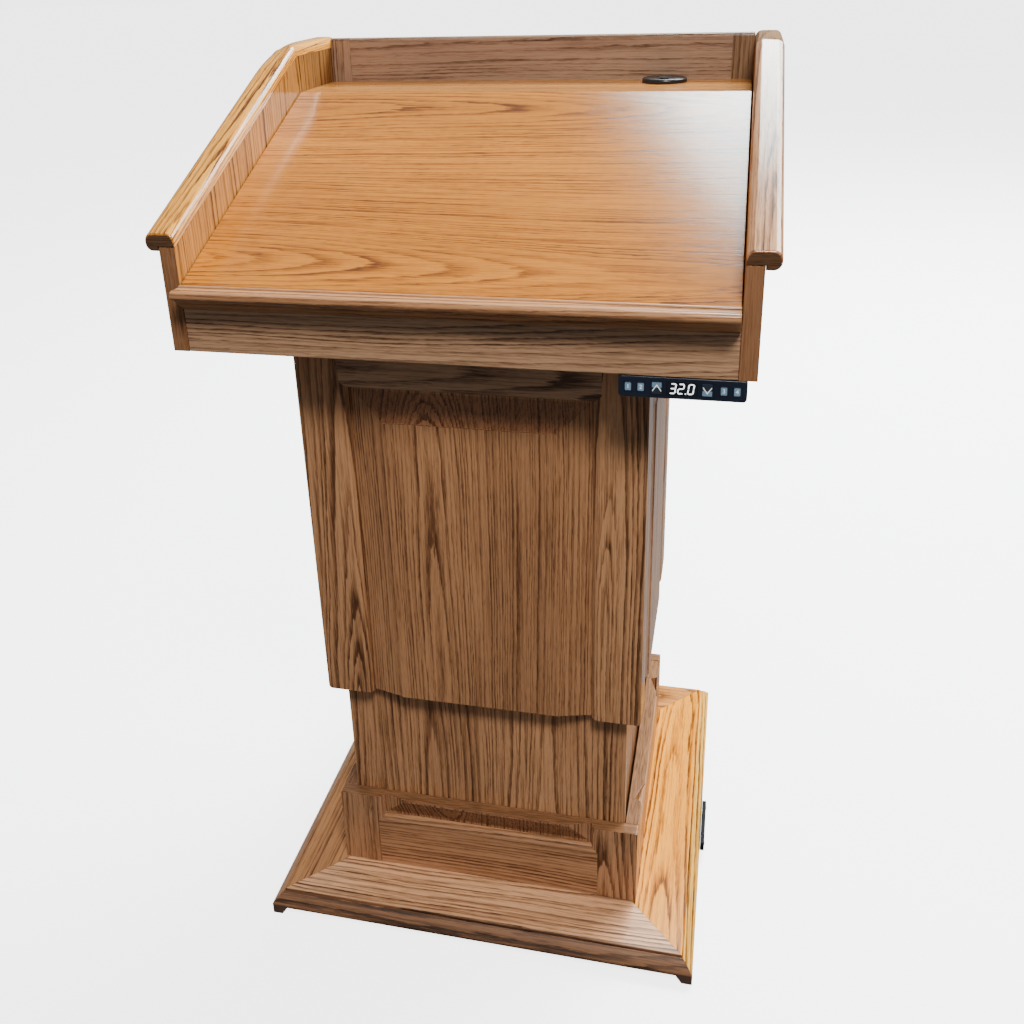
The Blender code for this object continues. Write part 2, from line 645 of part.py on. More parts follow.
def build_desk(carrier):
    """Floor, apron, sides, caps, back, shelf, reading surface and nosing."""
    inner = INNER_HALF - GAP
    outer = TOP_W / 2
    across("left_side_panel", side_outline(), -outer, -INNER_HALF, OAK, carrier)
    across("right_side_panel", side_outline(), INNER_HALF, outer, OAK, carrier)
    build_cap("left_cap_rail", -1, carrier)
    build_cap("right_cap_rail", 1, carrier)
    apron_back = DESK_FRONT + BOARD_T
    read_drop = READ_T / math.cos(READ_SLOPE)
    apron_top = READ_FRONT_Z - read_drop - GAP
    box("apron", (-inner, DESK_FRONT, DESK_Z), (inner, apron_back, apron_top), OAK, carrier)
    box("desk_floor", (-inner, apron_back + GAP, DESK_Z), (inner, BACK_FACE - GAP, DESK_Z + FLOOR_T),
        OAK_DARK, carrier)
    back_top = SHELF_Z + BACK_RISE
    panel_half = inner - BACK_STILE_W - GAP
    box("back_panel", (-panel_half, BACK_FACE, DESK_Z), (panel_half, TOP_D / 2, back_top), OAK, carrier)
    for name, side in (("back_left_stile", -1), ("back_right_stile", 1)):
        xs = sorted((side * inner, side * (inner - BACK_STILE_W)))
        box(name, (xs[0], BACK_FACE, DESK_Z), (xs[1], TOP_D / 2, back_top), OAK, carrier)
    surface = INNER_HALF - READ_SIDE_GAP
    read_outline = [(DESK_FRONT, READ_FRONT_Z), (DESK_FRONT, READ_FRONT_Z - read_drop),
                    (SEAM_Y - GAP, SHELF_Z - read_drop), (SEAM_Y - GAP, SHELF_Z)]
    across("reading_surface", read_outline, -surface, surface, OAK, carrier)
    across("nosing", nosing_outline(), -surface, surface, OAK, carrier)
    shelf = box("shelf", (-surface, SEAM_Y, SHELF_Z - SHELF_T),
                (surface, BACK_FACE - GAP, SHELF_Z), OAK, carrier)
    build_grommet(shelf, carrier)
    floor_top = DESK_Z + FLOOR_T + GAP
    box("control_box", (CONTROL_X - CONTROL_W / 2, CONTROL_Y - CONTROL_D / 2, floor_top),
        (CONTROL_X + CONTROL_W / 2, CONTROL_Y + CONTROL_D / 2, floor_top + CONTROL_T), BLACK, carrier)


def build_grommet(shelf, carrier):
    """A cable grommet let into the shelf, with a cap that turns and has a cable slot."""
    axis = (GROMMET_X, BACK_FACE - GROMMET_FLANGE_R - GROMMET_BACK_GAP)
    hole = bmesh.new()
    add_cylinder(hole, GROMMET_TUBE_R + GAP, SHELF_Z - 2 * SHELF_T, SHELF_Z + SHELF_T, GROMMET_STEPS)
    cut(shelf, mesh_from(hole, "grommet_hole"), (*axis, 0))
    flange_low = SHELF_Z + GAP
    flange_top = SHELF_Z + GAP + GROMMET_FLANGE_T
    seat = flange_top - GROMMET_SEAT_D
    ring = [(GROMMET_FLANGE_R - GROMMET_EASE, flange_top),
            (GROMMET_FLANGE_R, flange_top - GROMMET_EASE),
            (GROMMET_FLANGE_R, flange_low), (GROMMET_TUBE_R, flange_low),
            (GROMMET_TUBE_R, SHELF_Z - SHELF_T), (GROMMET_BORE_R, SHELF_Z - SHELF_T),
            (GROMMET_BORE_R, seat), (GROMMET_SEAT_R, seat), (GROMMET_SEAT_R, flange_top)]
    place("grommet_ring", turned_mesh(ring, "grommet_ring"), BLACK, carrier, (*axis, 0))
    cap = cylinder("grommet_cap", GROMMET_SEAT_R - CAP_GAP, seat + GAP, flange_top, axis,
                   BLACK, carrier, GROMMET_STEPS)
    slot = box_mesh((-CABLE_SLOT_W / 2, -GROMMET_SEAT_R * 2, seat - GROMMET_SEAT_D),
                    (CABLE_SLOT_W / 2, -GROMMET_SEAT_R + CABLE_SLOT_D, flange_top + GROMMET_SEAT_D),
                    "cable_slot")
    cut(cap, slot, (*axis, 0))


def rounded_rectangle(width, height, radius):
    """Outline of a rectangle with round corners, about its middle."""
    points = []
    corners = ((1, 1, 0), (-1, 1, 90), (-1, -1, 180), (1, -1, 270))
    for sign_x, sign_y, start in corners:
        centre = (sign_x * (width / 2 - radius), sign_y * (height / 2 - radius))
        points += arc(centre, radius, start, start + 90, CORNER_STEPS)
    return points


def build_keypad(carrier):
    """The keypad under the apron: housing, display window and six keys."""
    x = TOP_W / 2 - KEYPAD_INSET - KEYPAD_W / 2
    z = DESK_Z - GAP - KEYPAD_H / 2
    face = DESK_FRONT - KEYPAD_PROUD
    mesh = outline_mesh(rounded_rectangle(KEYPAD_W, KEYPAD_H, KEYPAD_R), KEYPAD_D, "keypad_housing")
    mesh.transform(UPRIGHT)
    housing = place("keypad_housing", mesh, NAVY, carrier, (x, face + KEYPAD_D / 2, z))
    pockets = bmesh.new()
    depth = KEY_BODY + KEY_TRAVEL + KEY_GAP
    for key, key_x in KEY_X.items():
        width, height = KEY_LARGE if key in ("up", "down") else KEY_SMALL
        add_box(pockets, (key_x - width / 2 - KEY_GAP, -depth, -height / 2 - KEY_GAP),
                (key_x + width / 2 + KEY_GAP, depth, height / 2 + KEY_GAP))
        low = (x + key_x - width / 2, face - KEY_PROUD, z - height / 2)
        high = (x + key_x + width / 2, face + KEY_BODY, z + height / 2)
        box(f"key_{key}", low, high, KEY_BLUE, carrier)
    add_box(pockets, (-WINDOW_W / 2 - GAP, -WINDOW_T - GAP, -WINDOW_H / 2 - GAP),
            (WINDOW_W / 2 + GAP, WINDOW_T + GAP, WINDOW_H / 2 + GAP))
    cut(housing, mesh_from(pockets, "pockets"), (x, face, z))
    box("display_window", (x - WINDOW_W / 2, face, z - WINDOW_H / 2),
        (x + WINDOW_W / 2, face + WINDOW_T, z + WINDOW_H / 2), GLASS, carrier)


def build_lectern():
    """Build every sub-assembly of the lectern."""
    base = empty("base_group")
    middle = empty("column_middle_group")
    desk = empty("desk_group")
    build_base(base)
    build_box("lower", BASE_TOP + GAP, LOWER_TOP, False, base)
    build_sleeve(base)
    build_column(base, middle, desk)
    build_box("upper", UPPER_BOTTOM, DESK_Z - GAP, True, desk)
    build_desk(desk)
    build_keypad(desk)


clear_scene()
PARTS = collection("adjustable_height_lectern")
CUTTERS = collection("cutters")
build_lectern()
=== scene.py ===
"""Looks of an oak lectern whose desk is raised and lowered by an electric column.

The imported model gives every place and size. Each board is modelled again with eased edges and its
own grain, the keypad gets its keys' marks and its lit digits, and a plain studio is set round the
lectern. The speaker stands at -Y, +X is to the right of the speaker and +Z is up. Lengths are in
metres.
"""
import logging
import math
from collections.abc import Callable, Sequence
from dataclasses import dataclass
from enum import Enum

import bmesh
import bpy
from mathutils import Matrix, Quaternion, Vector

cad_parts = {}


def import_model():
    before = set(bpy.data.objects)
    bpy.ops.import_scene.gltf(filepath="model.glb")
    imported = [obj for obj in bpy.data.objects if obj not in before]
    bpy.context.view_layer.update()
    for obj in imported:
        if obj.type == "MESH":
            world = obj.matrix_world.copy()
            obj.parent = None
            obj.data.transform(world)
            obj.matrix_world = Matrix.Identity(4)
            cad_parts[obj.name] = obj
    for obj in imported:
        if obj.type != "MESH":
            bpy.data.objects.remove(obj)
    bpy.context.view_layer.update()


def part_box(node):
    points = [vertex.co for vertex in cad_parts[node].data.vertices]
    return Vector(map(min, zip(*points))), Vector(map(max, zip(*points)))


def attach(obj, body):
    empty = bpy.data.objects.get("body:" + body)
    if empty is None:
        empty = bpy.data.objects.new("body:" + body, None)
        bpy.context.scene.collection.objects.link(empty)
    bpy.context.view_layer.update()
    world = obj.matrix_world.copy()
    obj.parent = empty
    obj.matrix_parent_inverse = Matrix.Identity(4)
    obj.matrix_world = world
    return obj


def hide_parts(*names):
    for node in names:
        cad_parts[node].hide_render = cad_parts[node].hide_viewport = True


LOG = logging.getLogger("lectern")
HAIRLINE = 0.0002
SNUG = HAIRLINE / 8
TOUCH = 0.00001
FRONT = (0.0, -1.0, 0.0)
REAR = (0.0, 1.0, 0.0)
RIGHT = (1.0, 0.0, 0.0)
UP = (0.0, 0.0, 1.0)
SLOPE_RUN = 0.396
SLOPE_RISE = 0.162
SLOPE = math.atan2(SLOPE_RISE, SLOPE_RUN)
WING_RISE = 0.169
WING = math.atan2(WING_RISE, SLOPE_RUN)

Point = tuple[float, float]
Colour = tuple[float, float, float]
Triple = Sequence[float]
Object = bpy.types.Object
Socket = bpy.types.NodeSocket


class Run(Enum):
    """Which way a board's grain runs: the directions along and across its face."""

    LEVEL_WIDTH = ((1.0, 0.0, 0.0), (0.0, 1.0, 0.0))
    LEVEL_DEPTH = ((0.0, 1.0, 0.0), (1.0, 0.0, 0.0))
    FRONT_WIDTH = ((1.0, 0.0, 0.0), (0.0, 0.0, 1.0))
    FRONT_HEIGHT = ((0.0, 0.0, 1.0), (1.0, 0.0, 0.0))
    SIDE_DEPTH = ((0.0, 1.0, 0.0), (0.0, 0.0, 1.0))
    SIDE_HEIGHT = ((0.0, 0.0, 1.0), (0.0, 1.0, 0.0))
    SLOPE_WIDTH = ((1.0, 0.0, 0.0), (0.0, math.cos(SLOPE), math.sin(SLOPE)))
    WING_DEPTH = ((0.0, math.cos(WING), math.sin(WING)), (1.0, 0.0, 0.0))

    def turn(self) -> Matrix:
        """The rotation from the lectern's directions to the board's."""
        along, across = (Vector(side) for side in self.value)
        return Matrix((along, across, along.cross(across)))


class Lay(Enum):
    """How a flat outline lies: its two directions and the one it is drawn out in."""

    SIDE_ON = ((0, 1, 0), (0, 0, 1), (1, 0, 0))
    PLAN = ((1, 0, 0), (0, 1, 0), (0, 0, 1))
    FRONT_ON = ((1, 0, 0), (0, 0, 1), (0, 1, 0))


class Side(Enum):
    """The four sides of a box, with the turn from the front to that side."""

    FRONT = 0.0
    RIGHT = math.pi / 2
    REAR = math.pi
    LEFT = -math.pi / 2

    @property
    def word(self) -> str:
        """The side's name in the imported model."""
        return self.name.lower()

    @property
    def flank(self) -> bool:
        """Whether this is the left or the right side."""
        return self in (Side.LEFT, Side.RIGHT)


class Bench:
    """Blender's modelling operators, used on one piece at a time as by hand."""

    @staticmethod
    def start() -> None:
        """Leave edit mode and deselect everything."""
        active = bpy.context.view_layer.objects.active
        if active and active.mode != "OBJECT":
            bpy.ops.object.mode_set(mode="OBJECT")
        bpy.ops.object.select_all(action="DESELECT")

    @staticmethod
    def take(obj: Object) -> None:
        """Select one object alone and make it active.

        Args:
            obj: The object.
        """
        Bench.start()
        obj.select_set(True)
        bpy.context.view_layer.objects.active = obj

    @staticmethod
    def edit(obj: Object, kind: str = "") -> None:
        """Enter edit mode, with everything selected or ready to pick.

        Args:
            obj: The piece.
            kind: FACE or EDGE to pick those, or nothing to select everything.
        """
        Bench.take(obj)
        bpy.ops.object.mode_set(mode="EDIT")
        if kind:
            bpy.ops.mesh.select_mode(type=kind)
        bpy.ops.mesh.select_all(action="DESELECT" if kind else "SELECT")

    @staticmethod
    def face_out() -> None:
        """Turn all faces of the piece in edit mode outwards and leave edit mode."""
        bpy.ops.mesh.select_all(action="SELECT")
        bpy.ops.mesh.normals_make_consistent(inside=False)
        bpy.ops.object.mode_set(mode="OBJECT")

    @staticmethod
    def settle(obj: Object, name: str) -> Object:
        """Name a piece and put its place, turn and size into its mesh.

        Args:
            obj: The piece.
            name: Its name.

        Returns:
            The same piece, at the origin.
        """
        obj.name = name
        obj.data.name = name
        Bench.take(obj)
        bpy.ops.object.transform_apply(location=True, rotation=True, scale=True)
        return obj

    @staticmethod
    def block(name: str, low: Triple, high: Triple) -> Object:
        """Add a cube at its size and place.

        Args:
            name: The piece's name.
            low: Its lowest corner.
            high: Its highest corner.

        Returns:
            The piece.
        """
        Bench.start()
        bpy.ops.mesh.primitive_cube_add(size=1.0, location=(Vector(low) + Vector(high)) / 2)
        obj = bpy.context.object
        obj.scale = Vector(high) - Vector(low)
        return Bench.settle(obj, name)

    @staticmethod
    def drum(name: str, radius: float, depth: float, place: Triple, facets: int,
             turn: Triple = (0.0, 0.0, 0.0)) -> Object:
        """Add a cylinder at its size and place.

        Args:
            name: The piece's name.
            radius: Its radius.
            depth: Its length.
            place: Its middle.
            facets: Its facets.
            turn: Its turn from upright.

        Returns:
            The piece.
        """
        Bench.start()
        bpy.ops.mesh.primitive_cylinder_add(vertices=facets, radius=radius, depth=depth,
                                            location=place, rotation=turn)
        return Bench.settle(bpy.context.object, name)

    @staticmethod
    def outline(points: Sequence[Vector], fill: str) -> Object:
        """Add a circle and move its points to an outline.

        Args:
            points: The outline's points.
            fill: NGON for a filled outline, NOTHING for an open one.

        Returns:
            The outline, in edit mode with everything selected.
        """
        Bench.start()
        bpy.ops.mesh.primitive_circle_add(vertices=len(points), radius=1.0, fill_type=fill)
        obj = bpy.context.object
        for vert, point in zip(obj.data.vertices, points):
            vert.co = point
        Bench.edit(obj)
        return obj

    @staticmethod
    def bar(name: str, outline: Sequence[Point], lay: Lay, start: float, end: float) -> Object:
        """Draw an outline out into a bar.

        Args:
            name: The piece's name.
            outline: The outline's points in the two directions of the lay.
            lay: How the outline lies.
            start: Where the bar starts along the third direction.
            end: Where it ends.

        Returns:
            The piece.
        """
        first, second, out = (Vector(side) for side in lay.value)
        obj = Bench.outline([first * u + second * v + out * start for u, v in outline], "NGON")
        bpy.ops.mesh.extrude_region_move(TRANSFORM_OT_translate={"value": out * (end - start)})
        Bench.face_out()
        return Bench.settle(obj, name)

    @staticmethod
    def ring(name: str, profile: Sequence[Point], axis: Point, steps: int) -> Object:
        """Spin a closed profile about an upright axis.

        Args:
            name: The piece's name.
            profile: Points of radius and height.
            axis: The axis in x and y.
            steps: Facets of a full turn.

        Returns:
            The piece.
        """
        points = [Vector((axis[0] + radius, axis[1], height)) for radius, height in profile]
        obj = Bench.outline(points, "NOTHING")
        bpy.ops.mesh.spin(steps=steps, angle=math.tau, center=(*axis, 0.0), axis=UP)
        bpy.ops.mesh.select_all(action="SELECT")
        bpy.ops.mesh.remove_doubles(threshold=TOUCH)
        Bench.face_out()
        return Bench.settle(obj, name)

    @staticmethod
    def pick_faces(obj: Object, test: Callable[[bmesh.types.BMFace], bool]) -> None:
        """Enter edit mode and select the faces that pass a test.

        Args:
            obj: The piece.
            test: Says whether a face is selected.
        """
        Bench.edit(obj, "FACE")
        shape = bmesh.from_edit_mesh(obj.data)
        for face in shape.faces:
            face.select_set(test(face))
        shape.select_flush_mode()
        bmesh.update_edit_mesh(obj.data)

    @staticmethod
    def round_edges(obj: Object, test: Callable[[Vector, Vector], bool], radius: float,
                    steps: int = 5) -> None:
        """Round the edges whose two ends pass a test.

        Args:
            obj: The piece.
            test: Says whether the edge between two points is rounded.
            radius: The radius of the rounding.
            steps: Its facets.
        """
        Bench.edit(obj, "EDGE")
        shape = bmesh.from_edit_mesh(obj.data)
        for edge in shape.edges:
            edge.select_set(test(edge.verts[0].co, edge.verts[1].co))
        bmesh.update_edit_mesh(obj.data)
        bpy.ops.mesh.bevel(offset=radius, segments=steps, affect="EDGES")
        bpy.ops.object.mode_set(mode="OBJECT")

    @staticmethod
    def round_along(obj: Object, axis: int, radius: float, steps: int = 5) -> None:
        """Round a block's four edges along one axis: 0, 1 or 2 for x, y or z."""
        Bench.round_edges(obj, lambda a, b: abs(a[axis] - b[axis]) > TOUCH, radius, steps)

    @staticmethod
    def saw(obj: Object, point: Triple, normal: Triple) -> None:
        """Cut a piece through and throw away the side that the normal points to.

        Args:
            obj: The piece.
            point: A point of the cut.
            normal: The direction of the waste.
        """
        Bench.edit(obj)
        bpy.ops.mesh.bisect(plane_co=tuple(point), plane_no=tuple(normal), use_fill=True,
                            clear_outer=True)
        Bench.face_out()

    @staticmethod
    def carve(obj: Object, tools: Sequence[Object]) -> None:
        """Cut other shapes out of a piece and remove them.

        Args:
            obj: The piece.
            tools: The shapes that are cut out.
        """
        for tool in tools:
            modifier = obj.modifiers.new("carve", "BOOLEAN")
            modifier.operation = "DIFFERENCE"
            modifier.object = tool
            Bench.take(obj)
            bpy.ops.object.modifier_apply(modifier=modifier.name)
            bpy.data.objects.remove(tool)

    @staticmethod
    def finish(obj: Object, ease: float = 0.0, steps: int = 2, angle: float = 50.0) -> None:
        """Ease a piece's sharp edges and smooth its rounded ones.

        Args:
            obj: The piece.
            ease: Width of the eased edges, or 0 for none.
            steps: Facets of an eased edge.
            angle: Edges sharper than this many degrees are eased and stay crisp.
        """
        if ease:
            bevel = obj.modifiers.new("ease", "BEVEL")
            bevel.width = ease
            bevel.segments = steps
            bevel.limit_method = "ANGLE"
            bevel.angle_limit = math.radians(angle)
            Bench.take(obj)
            bpy.ops.object.modifier_apply(modifier=bevel.name)
        Bench.take(obj)
        bpy.ops.object.shade_smooth_by_angle(angle=math.radians(angle))
        weighted = obj.modifiers.new("flats", "WEIGHTED_NORMAL")
        weighted.keep_sharp = True
        bpy.ops.object.modifier_apply(modifier=weighted.name)


def arc(centre: Point, radius: float, start: float, end: float, steps: int = 8) -> list[Point]:
    """Points of an arc.

    Args:
        centre: Its centre.
        radius: Its radius.
        start: Its first angle in degrees.
        end: Its last angle.
        steps: Its facets.

    Returns:
        The points, both ends included.
    """
    angles = [math.radians(start + (end - start) * step / steps) for step in range(steps + 1)]
    return [(centre[0] + radius * math.cos(a), centre[1] + radius * math.sin(a)) for a in angles]


class Sketch:
    """A node tree and short ways to add nodes to it."""

    def __init__(self, tree: bpy.types.NodeTree) -> None:
        """Keep the tree that nodes are added to."""
        self.tree = tree

    def node(self, kind: str, **settings: object) -> bpy.types.Node:
        """Add a node.

        Args:
            kind: Its type, without the leading ShaderNode.
            settings: Its properties.

        Returns:
            The node.
        """
        made = self.tree.nodes.new(f"ShaderNode{kind}")
        for key, value in settings.items():
            setattr(made, key, value)
        return made

    def feed(self, socket: Socket, value: object) -> None:
        """Link a socket to another socket, or set it to a value.

        Args:
            socket: The socket.
            value: The other socket, or the value.
        """
        if isinstance(value, Socket):
            self.tree.links.new(value, socket)
        else:
            socket.default_value = value

    def fill(self, node: bpy.types.Node, values: dict[str, object]) -> bpy.types.Node:
        """Link or set some of a node's inputs.

        Args:
            node: The node.
            values: Sockets or values by the inputs' names.

        Returns:
            The node.
        """
        for name, value in values.items():
            self.feed(node.inputs[name], value)
        return node

    def place(self) -> Socket:
        """Add a Texture Coordinate node and return its object coordinates."""
        return self.node("TexCoord").outputs["Object"]

    def split(self, vector: Socket) -> bpy.types.Node:
        """Add a Separate XYZ node for a vector."""
        return self.fill(self.node("SeparateXYZ"), {"Vector": vector})

    def sum(self, operation: str, *values: object, kind: str = "Math") -> Socket:
        """Add a Math node.

        Args:
            operation: Its operation.
            values: Its inputs, sockets or values.
            kind: VectorMath for one that works on vectors.

        Returns:
            Its first output.
        """
        made = self.node(kind, operation=operation)
        for socket, value in zip(made.inputs, values):
            self.feed(socket, value)
        return made.outputs[0]

    def noise(self, place: Socket, stretch: Triple, seed: object, detail: float,
              roughness: float = 0.5) -> bpy.types.Node:
        """Add a noise that is stretched by its own scale in each direction.

        Args:
            place: Where the noise is read.
            stretch: Its scale in each direction, per metre.
            seed: Which noise it is.
            detail: Its octaves.
            roughness: How strong the finer octaves are.

        Returns:
            The noise node.
        """
        scaled = self.sum("MULTIPLY", place, stretch, kind="VectorMath")
        made = self.node("TexNoise", noise_dimensions="4D")
        return self.fill(made, {"Vector": scaled, "W": seed, "Scale": 1.0, "Detail": detail,
                                "Roughness": roughness})

    def ramp(self, value: Socket, stops: Sequence[tuple[float, object]]) -> Socket:
        """Add a colour ramp.

        Args:
            value: What it reads.
            stops: Its stops as positions and colours, or numbers for greys.

        Returns:
            Its colour output.
        """
        made = self.fill(self.node("ValToRGB"), {"Fac": value})
        band = made.color_ramp.elements
        for index, (position, colour) in enumerate(stops):
            stop = band[index] if index < 2 else band.new(position)
            stop.position = position
            stop.color = (*((colour,) * 3 if isinstance(colour, float) else colour), 1.0)
        return made.outputs["Color"]

    def span(self, value: Socket, source: Point, target: Point = (0.0, 1.0)) -> Socket:
        """Add a clamped Map Range node.

        Args:
            value: What it reads.
            source: The range that is read.
            target: The range that it becomes.

        Returns:
            Its output.
        """
        made = self.node("MapRange", clamp=True)
        self.fill(made, {"Value": value, "From Min": source[0], "From Max": source[1],
                         "To Min": target[0], "To Max": target[1]})
        return made.outputs["Result"]

    def mix(self, blend: str, factor: object, first: object, second: object) -> Socket:
        """Add a colour Mix node.

        Args:
            blend: Its blend type.
            factor: How much of the second colour shows.
            first: The colour below.
            second: The colour above.

        Returns:
            Its colour output.
        """
        made = self.node("Mix", data_type="RGBA", blend_type=blend)
        self.feed(made.inputs[0], factor)
        for socket, value in ((made.inputs[6], first), (made.inputs[7], second)):
            self.feed(socket, value if isinstance(value, Socket) else (*value, 1.0))
        return made.outputs[2]

    def bump(self, height: Socket, strength: float, distance: float) -> Socket:
        """Add a Bump node.

        Args:
            height: The height that it reads.
            strength: How strong it is.
            distance: The height in metres that 1 stands for.

        Returns:
            Its normal output.
        """
        made = self.node("Bump")
        self.fill(made, {"Height": height, "Strength": strength, "Distance": distance})
        return made.outputs["Normal"]


def new_material(name: str) -> tuple[bpy.types.Material, Sketch, bpy.types.Node]:
    """Make a material with a Principled shader.

    Args:
        name: The material's name.

    Returns:
        The material, its sketch and its shader.
    """
    made = bpy.data.materials.new(name)
    made.use_nodes = True
    return made, Sketch(made.node_tree), made.node_tree.nodes["Principled BSDF"]


class OakFigure:
    """The rings, pores and streaks of oak in a board's own directions, one group for every board.

    Scales are per metre along the board, across it and into it.
    """

    NAME = "oak_figure"
    INPUTS = (("Place", "NodeSocketVector"), ("Seed", "NodeSocketFloat"),
              ("Heart", "NodeSocketVector"), ("Lean", "NodeSocketFloat"),
              ("Ring", "NodeSocketFloat"), ("Wander", "NodeSocketFloat"))
    OUTPUTS = ("Grain", "Pores", "Tone")
    STRAY_SCALE = (1.5, 5.0, 5.0)
    FEATHER_SCALE = (20.0, 260.0, 260.0)
    FEATHER_DEPTH = 0.0046
    YEARS_SCALE = 42.0
    YEARS_DEPTH = 0.016
    SEASON = ((0.0, 0.10), (0.09, 1.0), (0.30, 0.60), (0.58, 0.14), (1.0, 0.05))
    FADE_SCALE = (5.0, 42.0, 42.0)
    FINE_SCALE = (6.5, 400.0, 400.0)
    DASH_SCALE = (30.0, 640.0, 640.0)
    PORE_SCALE = (70.0, 1500.0, 1500.0)
    TONE_SCALE = (0.9, 9.0, 9.0)
    BAND_WEIGHT = 1.1
    FINE_WEIGHT = 1.5
    PORE_WEIGHT = 0.30

    @classmethod
    def group(cls) -> bpy.types.NodeTree:
        """The shared group, made when it is first asked for."""
        return bpy.data.node_groups.get(cls.NAME) or cls.build()

    @classmethod
    def build(cls) -> bpy.types.NodeTree:
        """Make the group.

        Returns:
            The group.
        """
        tree = bpy.data.node_groups.new(cls.NAME, "ShaderNodeTree")
        for name, kind in cls.INPUTS:
            tree.interface.new_socket(name=name, in_out="INPUT", socket_type=kind)
        for name in cls.OUTPUTS:
            tree.interface.new_socket(name=name, in_out="OUTPUT", socket_type="NodeSocketFloat")
        sketch = Sketch(tree)
        given = tree.nodes.new("NodeGroupInput").outputs
        place, seed = given["Place"], given["Seed"]
        band = cls.rings(sketch, given)
        fine = sketch.noise(place, cls.FINE_SCALE, seed, 3.0, 0.6).outputs[0]
        dash = sketch.noise(place, cls.DASH_SCALE, seed, 1.0).outputs[0]
        pore = sketch.noise(place, cls.PORE_SCALE, seed, 1.0).outputs[0]
        pores = sketch.sum("MAXIMUM", sketch.span(pore, (0.54, 0.66)),
                           sketch.span(dash, (0.52, 0.66)))
        pores = sketch.sum("MULTIPLY", pores, sketch.span(band, (0.0, 0.7), (0.22, 1.0)))
        grain = sketch.sum("MULTIPLY_ADD", sketch.sum("SUBTRACT", fine, 0.5), cls.FINE_WEIGHT,
                           sketch.sum("MULTIPLY", band, cls.BAND_WEIGHT))
        grain = sketch.sum("MULTIPLY_ADD", pores, cls.PORE_WEIGHT, grain)
        tone = sketch.noise(place, cls.TONE_SCALE, seed, 2.0).outputs[0]
        result = dict(zip(cls.OUTPUTS, (grain, pores, tone)))
        sketch.fill(tree.nodes.new("NodeGroupOutput"), result)
        return tree

    @classmethod
    def rings(cls, sketch: Sketch, given: bpy.types.NodeOutputs) -> Socket:
        """Sketch the year rings.

        The tree's heart runs along a board, behind its face and a little out of line with it, so
        rings cut the face in arches near the heart and in straight lines away from it.

        Args:
            sketch: The group's sketch.
            given: The group's inputs.

        Returns:
            How dark the rings are.
        """
        place, seed, wander = given["Place"], given["Seed"], given["Wander"]
        strayed = sketch.noise(place, cls.STRAY_SCALE, seed, 2.0, 0.4).outputs["Color"]
        stray = sketch.sum("SUBTRACT", strayed, (0.5, 0.5, 0.5), kind="VectorMath")
        reach = sketch.fill(sketch.node("CombineXYZ"), {"Y": wander, "Z": wander}).outputs[0]
        moved = sketch.split(sketch.sum("MULTIPLY_ADD", stray, reach, place, kind="VectorMath"))
        heart = sketch.split(given["Heart"]).outputs
        along, across, behind = moved.outputs
        across = sketch.sum("ABSOLUTE", sketch.sum("ADD", across, heart["X"]))
        across = sketch.sum("SUBTRACT", across, heart["Y"])
        behind = sketch.sum("ADD", behind, heart["Z"])
        behind = sketch.sum("MULTIPLY_ADD", along, given["Lean"], behind)
        square = sketch.sum("MULTIPLY", behind, behind)
        radius = sketch.sum("SQRT", sketch.sum("MULTIPLY_ADD", across, across, square))

        feather = sketch.noise(place, cls.FEATHER_SCALE, seed, 3.0, 0.65).outputs[0]
        feather = sketch.sum("SUBTRACT", feather, 0.5)
        radius = sketch.sum("MULTIPLY_ADD", feather, cls.FEATHER_DEPTH, radius)
        when = sketch.sum("MULTIPLY_ADD", radius, cls.YEARS_SCALE, seed)
        years = sketch.fill(sketch.node("TexNoise", noise_dimensions="1D"),
                            {"W": when, "Scale": 1.0, "Detail": 1.0}).outputs[0]
        radius = sketch.sum("MULTIPLY_ADD", years, cls.YEARS_DEPTH, radius)
        year = sketch.sum("DIVIDE", radius, given["Ring"])
        band = sketch.ramp(sketch.sum("FRACT", year), cls.SEASON)
        count = sketch.sum("ADD", sketch.sum("FLOOR", year), seed)
        vigour = sketch.fill(sketch.node("TexWhiteNoise", noise_dimensions="1D"), {"W": count})
        vigour = sketch.span(vigour.outputs["Value"], (0.0, 1.0), (0.35, 1.0))
        fade = sketch.noise(place, cls.FADE_SCALE, seed, 2.0).outputs[0]
        fade = sketch.span(fade, (0.34, 0.62), (0.40, 1.0))
        return sketch.sum("MULTIPLY", sketch.sum("MULTIPLY", band, vigour), fade)


class Stain(Enum):
    """Colours of the stained oak: its light wood, its middle and the dark lines of its rings."""

    # A lit copy of the oak for the left cap rails: painted light, lighter where more light falls on
    # them.
    STRAW = ((0.960, 0.425, 0.055), (0.740, 0.300, 0.036), (0.140, 0.042, 0.006))
    HONEY = ((0.600, 0.255, 0.066), (0.450, 0.176, 0.042), (0.150, 0.050, 0.011))
    GOLD = ((0.575, 0.206, 0.018), (0.440, 0.143, 0.010), (0.155, 0.044, 0.004))
    # A very light copy of the oak for the base's right board: painted light standing in for the
    # strong light on that side.
    AMBER = ((0.900, 0.360, 0.030), (0.690, 0.240, 0.016), (0.180, 0.050, 0.005))
    WARM = ((0.545, 0.275, 0.134), (0.390, 0.186, 0.085), (0.172, 0.073, 0.033))
    BARK = ((0.560, 0.337, 0.202), (0.385, 0.222, 0.128), (0.122, 0.061, 0.033))
    RUSSET = ((0.385, 0.246, 0.168), (0.292, 0.181, 0.121), (0.110, 0.062, 0.041))
    CIDER = ((0.575, 0.245, 0.055), (0.430, 0.170, 0.034), (0.095, 0.030, 0.006))
    # The base's front board: oak made lighter and greyer, partly its colour and partly a painted
    # sheen.
    ASH = ((0.820, 0.450, 0.240), (0.470, 0.246, 0.128), (0.140, 0.064, 0.031))
    TAWNY = ((0.635, 0.330, 0.166), (0.395, 0.190, 0.088), (0.130, 0.054, 0.023))
    UMBER = ((0.260, 0.156, 0.090), (0.195, 0.114, 0.065), (0.075, 0.041, 0.023))


